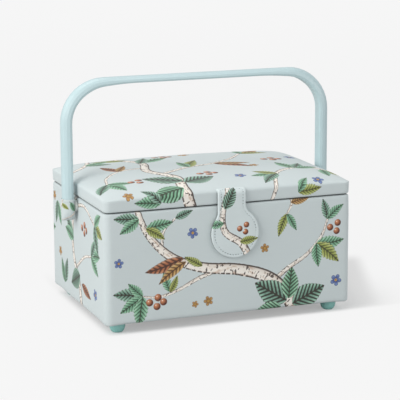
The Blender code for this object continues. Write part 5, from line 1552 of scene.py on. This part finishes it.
def seam_stations(shape, settings, lift, shift=0.0):
    """(point, direction, normal) of every stitch round the flap. shift moves them on, in stitches."""
    outline = shape.keyhole(shape.seam_inset, 60)
    outline.append(outline[0])
    flat = np.array(outline)
    length = np.concatenate(([0.0], np.cumsum(np.linalg.norm(np.diff(flat, axis=0), axis=1))))
    count = int(length[-1] / (settings.stitch_length + settings.stitch_gap))
    depth = shape.front_offset(shape.seam_inset) + lift
    stations = []
    for number in range(count):
        run = (number + 0.5 + shift) * length[-1] / count % length[-1]
        here = [np.interp(run, length, flat[:, axis]) for axis in (0, 1)]
        ahead = [np.interp(run + 0.5 * MM, length, flat[:, axis]) for axis in (0, 1)]
        point = shape.place(here[0], here[1], depth)
        along = (shape.place(ahead[0], ahead[1], depth) - point).normalized()
        normal = (point - shape.place(here[0], here[1], 0.0)).normalized()
        stations.append((point, along, normal))
    return stations


def make_needle_hole_shade(shape, settings):
    """Painted shade of the needle holes between the stitches: small dark discs laid on the cloth."""
    verts, faces = [], []
    sides = 8
    for point, along, normal in seam_stations(shape, settings, NEEDLE_HOLE_SHADE_LIFT, 0.5)[:-1]:
        across = along.cross(normal).normalized()
        faces.append(tuple(range(len(verts), len(verts) + sides)))
        for side in range(sides):
            angle = 2 * math.pi * side / sides
            verts.append(point + (across * math.cos(angle) - along * math.sin(angle)) * settings.needle_hole_shade)
    obj = new_piece("flap_needle_hole_shade", verts, faces, "needle_hole_shade", None)
    bend_at_fold(obj)


def make_flap_stitches(shape, settings):
    """Topstitching round the flap and across the end of its strap."""
    stations = seam_stations(shape, settings, STITCH_LIFT)
    obj = make_stitches("flap_stitching", stations, settings.stitch_length, FLAP_THREAD)
    bend_at_fold(obj)


# Handle sleeves


def sleeve_section(grow, narrow=1.0):
    """D section of a handle's leg grown by a thickness, as (depth from the outer face, offset along y)."""
    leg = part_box("handle")[1]
    thickness, width = HANDLE_THICKNESS + 2 * grow, HANDLE_WIDTH + 2 * grow
    half = width / 2 * narrow
    edge = thickness * 0.70
    points = [(edge * (1 - math.sin(math.pi * s / 22)), -half * math.cos(math.pi * s / 22))
              for s in range(23)]
    flat = half * 0.62
    for share in (0.33, 0.66):
        angle = math.pi / 2 * share
        points.append((edge + (thickness - edge) * math.sin(angle), flat + (half - flat) * math.cos(angle)))
    inner = spread(flat, -flat, flat / 2.5)
    points += [(thickness, y) for y in inner]
    for share in (0.66, 0.33):
        angle = math.pi / 2 * share
        points.append((edge + (thickness - edge) * math.sin(angle), -flat - (half - flat) * math.cos(angle)))
    return [(leg.x + grow - depth, y) for depth, y in points]


def hem_stations(ring):
    """(point, direction, normal) of every stitch round a sleeve's hem."""
    centre = sum(ring, Vector()) / len(ring)
    ring = [*ring, ring[0]]
    length = [0.0]
    for first, second in zip(ring, ring[1:]):
        length.append(length[-1] + (second - first).length)
    count = int(length[-1] / (2.6 * MM))
    stations = []
    for number in range(count):
        run = (number + 0.5) * length[-1] / count
        point = Vector([np.interp(run, length, [p[axis] for p in ring]) for axis in range(3)])
        ahead = Vector([np.interp(run + 0.3 * MM, length, [p[axis] for p in ring]) for axis in range(3)])
        along = (ahead - point).normalized()
        normal = along.cross(Vector((0, 0, 1)))
        if normal.dot(point - centre) < 0:
            normal = -normal
        stations.append((point, along, normal.normalized()))
    return stations


def make_sleeves():
    """Cloth sleeves sewn round the ends of the handle, with a turned hem at the top."""
    for word, side in (("left", -1), ("right", 1)):
        node = f"handle_sleeve_{word}"
        low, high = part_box(node)
        middle = (low.y + high.y) / 2
        full = 0.70 * MM
        reach = 9 * MM
        rows = [(high.z - 0.6 * MM, 0.08 * MM, 1.0), (high.z + 0.1 * MM, 0.2 * MM, 1.0),
                (high.z + 0.25 * MM, 0.55 * MM, 1.0), (high.z, full + 0.1 * MM, 1.0),
                (high.z - 0.8 * MM, full + 0.2 * MM, 1.0), (high.z - 2.2 * MM, full + 0.15 * MM, 1.0),
                (high.z - 2.8 * MM, full - 0.12 * MM, 1.0)]
        rows += [(z, full, 1.0) for z in spread(high.z - 3.8 * MM, low.z + reach, 1.4 * MM)]
        for angle in (15, 30, 45, 58, 70, 80, 86):
            rows.append((low.z + reach * (1 - math.sin(math.radians(angle))), full,
                         math.cos(math.radians(angle))))
        verts, plane = [], []
        for z, grow, narrow in rows:
            run, before = 0.0, None
            for x, y in sleeve_section(grow, narrow):
                ripple = waves((x * 2, y, z), 0.20 * MM, 110.0)
                verts.append((side * (x + ripple), (y + ripple * 0.6) * side + middle, z))
                if before:
                    run += math.dist(before, (x, y)) / max(narrow, 0.3)
                before = (x, y)
                plane.append((run - 12 * MM, z - high.z + 10 * MM))
        columns = len(sleeve_section(0.0))
        faces = ring_faces(len(rows), columns)
        obj = new_piece(f"handle_sleeve_cloth_{word}", verts, faces, "printed_cloth", "handle")
        lay_cloth(obj, plane, faces, sleeve_artwork(), 60 * MM)
        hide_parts(node)
        section = sleeve_section(full + 0.05 * MM)
        ring = [Vector((side * x, y * side + middle, high.z - 2.9 * MM)) for x, y in section]
        stitches = make_stitches(f"handle_sleeve_stitching_{word}", hem_stations(ring), 1.7 * MM,
                                 SLEEVE_THREAD)
        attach(stitches, "handle")


# Stage

LAMPS = (
    # name, direction from the basket, distance, size, power, colour
    ("window_left", (-0.86, -0.34, 0.40), 1.7, 1.1, 17.5, (1.0, 0.985, 0.965)),
    ("window_top", (-0.10, 0.05, 1.0), 1.6, 1.3, 8.2, (1.0, 0.985, 0.965)),
    ("window_right", (0.74, -0.66, 0.20), 2.0, 0.9, 5.6, (1.0, 1.0, 1.0)),
)


def make_camera(settings):
    """A camera turned round, above and a little askew of its target."""
    camera = bpy.data.objects.new("camera", bpy.data.cameras.new("camera"))
    bpy.context.scene.collection.objects.link(camera)
    camera.data.lens = settings.lens
    camera.data.sensor_width = 36.0
    azimuth, elevation = settings.azimuth, settings.elevation
    back = Vector((math.sin(azimuth) * math.cos(elevation), -math.cos(azimuth) * math.cos(elevation),
                   math.sin(elevation)))
    right = (-back).cross(Vector((0, 0, 1))).normalized()
    up = right.cross(-back)
    roll = settings.roll
    x_axis = right * math.cos(roll) + up * math.sin(roll)
    y_axis = up * math.cos(roll) - right * math.sin(roll)
    target = Vector((0, 0, settings.target_height)) + right * settings.target_right + up * settings.target_up
    turn = Matrix((x_axis, y_axis, back)).transposed().to_4x4()
    camera.matrix_world = Matrix.Translation(target + back * settings.distance) @ turn
    camera.data.clip_start, camera.data.clip_end = 0.05, 50.0
    bpy.context.scene.camera = camera


def make_lamps():
    """Three soft windows round the basket."""
    middle = Vector((0, 0, 0.1))
    for name, direction, distance, size, power, colour in LAMPS:
        lamp = bpy.data.lights.new(name, "AREA")
        lamp.size, lamp.energy, lamp.color = size, power, colour
        obj = bpy.data.objects.new(name, lamp)
        toward = Vector(direction).normalized()
        obj.location = middle + toward * distance
        obj.rotation_mode = "QUATERNION"
        obj.rotation_quaternion = toward.to_track_quat("Z", "Y")
        bpy.context.scene.collection.objects.link(obj)


def make_world(settings):
    """An even white surround: one strength for what the camera sees and another for light."""
    world = bpy.data.worlds.new("studio")
    world.use_nodes = True
    nodes = Nodes(world.node_tree)
    background = world.node_tree.nodes["Background"]
    path = nodes.add("ShaderNodeLightPath").outputs
    seen = nodes.math("MAXIMUM", path["Is Camera Ray"], path["Is Transmission Ray"])
    nodes.feed(background.inputs["Color"], (1.0, 1.0, 1.0, 1.0))
    strength = nodes.plus(settings.fill, nodes.times(seen, settings.background - settings.fill))
    nodes.feed(background.inputs["Strength"], strength)
    bpy.context.scene.world = world


def painted_cast_shadow(nodes, place, settings):
    """Painted shadow: how much darker the floor is painted beside the basket, on the side away from the
    window.
    """
    low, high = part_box("body_cover")
    reach = settings.painted_shadow_reach
    along = nodes.split(place)[1]
    across = nodes.vector("DOT_PRODUCT", nodes.vector("SUBTRACT", place, (0.0, low.y, 0.0)),
                          (1.0, -settings.painted_shadow_slant, 0.0))
    beside = nodes.step(across, high.x + reach, high.x + 2 * reach, 1.0, 0.0)
    behind = nodes.step(along, low.y, high.y, settings.painted_shadow_depth * PAINTED_SHADOW_FRONT_SHARE, settings.painted_shadow_depth)
    behind = nodes.times(behind, nodes.step(along, high.y, high.y + 2 * reach, 1.0, 0.0))
    behind = nodes.times(behind, nodes.step(along, low.y, low.y + PAINTED_SHADOW_FRONT_FADE))
    start = nodes.step(across, high.x - PAINTED_SHADOW_SIDE_FADE, high.x)
    return nodes.times(nodes.times(beside, start), behind)


def backdrop_share(nodes, place, settings):
    """Share of the plain backdrop in the floor, which grows outwards from the basket's edges."""
    _, _, _, half_x, half_y = span("body_cover")
    core = (half_x - settings.shadow_start, half_y - settings.shadow_start, 0.0)
    right = nodes.vector("MAXIMUM", nodes.vector("SUBTRACT", place, core), (0, 0, 0))
    mirrored = nodes.vector("MULTIPLY", place, (-1.0, -1.0, 0.0))
    left = nodes.vector("MAXIMUM", nodes.vector("SUBTRACT", mirrored, core), (0, 0, 0))
    shrink = 1 / settings.shadow_stretch
    beyond = nodes.vector("ADD", nodes.vector("MULTIPLY", right, (shrink, shrink, 0.0)), left)
    reach = nodes.vector("LENGTH", beyond)
    tight = nodes.step(reach, 0.0, settings.shadow_reach, 0.0, 1.0 - settings.shadow_rest)
    return nodes.plus(tight, nodes.step(reach, settings.shadow_reach, SHADOW_END, 0.0, settings.shadow_rest))


def make_floor(settings):
    """A pale floor that takes the basket's shadow, has a painted shadow beside it, and meets the backdrop
    without a line.
    """
    mesh = bpy.data.meshes.new("studio_floor")
    corners = [(x * FLOOR_SIZE, y * FLOOR_SIZE, 0) for x, y in ((-1, -1), (1, -1), (1, 1), (-1, 1))]
    mesh.from_pydata(corners, [], [(0, 1, 2, 3)])
    floor = bpy.data.objects.new("studio_floor", mesh)
    bpy.context.scene.collection.objects.link(floor)
    material = bpy.data.materials.new("studio_floor")
    material.use_nodes = True
    nodes = Nodes(material.node_tree)
    material.node_tree.nodes.remove(material.node_tree.nodes["Principled BSDF"])

    def diffuse(level):
        return nodes.add("ShaderNodeBsdfDiffuse", Color=(level, level, level, 1.0)).outputs[0]

    def glow(strength):
        return nodes.add("ShaderNodeEmission", Color=(1, 1, 1, 1), Strength=strength).outputs[0]

    def blend(factor, first, second):
        node = nodes.add("ShaderNodeMixShader", Fac=factor)
        nodes.feed(node.inputs[1], first)
        nodes.feed(node.inputs[2], second)
        return node.outputs[0]

    place = nodes.place()
    # Painted shadow: the floor's glow is lowered beside the basket
    painted_shadow = painted_cast_shadow(nodes, place, settings)
    near = nodes.add("ShaderNodeAddShader")
    nodes.feed(near.inputs[0], diffuse(settings.floor_shade))
    nodes.feed(near.inputs[1], glow(nodes.minus(settings.floor_lift, painted_shadow)))
    far = glow(nodes.minus(settings.background, painted_shadow))
    seen = blend(backdrop_share(nodes, place, settings), near.outputs[0], far)
    is_camera = nodes.add("ShaderNodeLightPath").outputs["Is Camera Ray"]
    output = material.node_tree.nodes["Material Output"]
    nodes.feed(output.inputs["Surface"], blend(is_camera, diffuse(FLOOR_BOUNCE), seen))
    mesh.materials.append(material)


# Operators and panel


class BASKET_OT_finishes(Operator):
    """Build the materials and give every rigid part of the frame its finish."""

    bl_idname = "basket.finishes"
    bl_label = "Finishes"

    def execute(self, context):
        finishes.update(make_materials(context.scene.basket_cloth, context.scene.basket_hard_parts))
        for part in frame["record"]["subparts"]:
            obj = frame["nodes"][part["node"]]
            obj.data.materials.clear()
            obj.data.materials.append(finishes[part["material_slot"]])
        return {"FINISHED"}


class BASKET_OT_box_cloth(Operator):
    """Cover the box in printed cloth, and line and close it."""

    bl_idname = "basket.box_cloth"
    bl_label = "Box Cloth"

    def execute(self, context):
        settings = context.scene.basket_cloth
        make_body_cloth(settings)
        make_body_lining(settings)
        make_soft_slab("base_lining_cloth", "base_cloth", 0.3 * MM, 4 * MM, 0.05 * MM)
        for word in ("left", "right"):
            make_soft_slab(f"tray_ledge_cover_{word}", f"tray_ledge_{word}", 1.6 * MM, 2 * MM, 0.1 * MM)
        return {"FINISHED"}


class BASKET_OT_lid_cloth(Operator):
    """Cover the padded lid and dress its underside."""

    bl_idname = "basket.lid_cloth"
    bl_label = "Lid Cloth"

    def execute(self, context):
        settings = context.scene.basket_cloth
        make_lid_cloth(settings)
        make_lid_lining(settings)
        make_pincushion()
        make_lid_pocket()
        make_pocket_elastic()
        return {"FINISHED"}


class BASKET_OT_flap(Operator):
    """Sew the padded flap with its strap and topstitching."""

    bl_idname = "basket.flap"
    bl_label = "Flap"

    def execute(self, context):
        settings = context.scene.basket_flap
        shape = FlapShape(settings)
        make_flap(shape)
        make_flap_stitches(shape, settings)
        make_needle_hole_shade(shape, settings)
        return {"FINISHED"}


class BASKET_OT_sleeves(Operator):
    """Wrap the ends of the handle in cloth."""

    bl_idname = "basket.sleeves"
    bl_label = "Handle Sleeves"

    def execute(self, context):
        make_sleeves()
        return {"FINISHED"}


class BASKET_OT_stage(Operator):
    """Set up the camera, the lamps, the floor and the surround."""

    bl_idname = "basket.stage"
    bl_label = "Stage"

    def execute(self, context):
        settings = context.scene.basket_stage
        make_camera(settings)
        make_lamps()
        make_world(settings)
        make_floor(settings)
        context.scene.view_settings.view_transform = "Standard"
        return {"FINISHED"}


class BASKET_PT_panel(Panel):
    """Lists the basket's operators and settings."""

    bl_idname = "BASKET_PT_panel"
    bl_label = "Sewing Basket"
    bl_space_type = "VIEW_3D"
    bl_region_type = "UI"
    bl_category = "Sewing Basket"

    def draw(self, context):
        for operator in OPERATORS:
            self.layout.operator(operator.bl_idname)
        for group, kind in SETTINGS.items():
            box = self.layout.box()
            box.label(text=kind.__doc__)
            for name in kind.__annotations__:
                box.prop(getattr(context.scene, group), name)


SETTINGS = {"basket_cloth": ClothSettings, "basket_flap": FlapSettings, "basket_hard_parts": HardPartSettings,
            "basket_stage": StageSettings}
OPERATORS = (BASKET_OT_finishes, BASKET_OT_box_cloth, BASKET_OT_lid_cloth, BASKET_OT_flap, BASKET_OT_sleeves,
             BASKET_OT_stage)
finishes = {}


def register():
    for settings in SETTINGS.values():
        bpy.utils.register_class(settings)
    for name, settings in SETTINGS.items():
        setattr(bpy.types.Scene, name, PointerProperty(type=settings))
    for operator in OPERATORS:
        bpy.utils.register_class(operator)
    bpy.utils.register_class(BASKET_PT_panel)


def unregister():
    bpy.utils.unregister_class(BASKET_PT_panel)
    for operator in reversed(OPERATORS):
        bpy.utils.unregister_class(operator)
    for name, settings in SETTINGS.items():
        delattr(bpy.types.Scene, name)
        bpy.utils.unregister_class(settings)


def main():
    """Build the whole scene."""
    register()
    bpy.ops.basket.finishes()
    bpy.ops.basket.box_cloth()
    bpy.ops.basket.lid_cloth()
    bpy.ops.basket.flap()
    bpy.ops.basket.sleeves()
    bpy.ops.basket.stage()


if __name__ == "__main__":
    main()
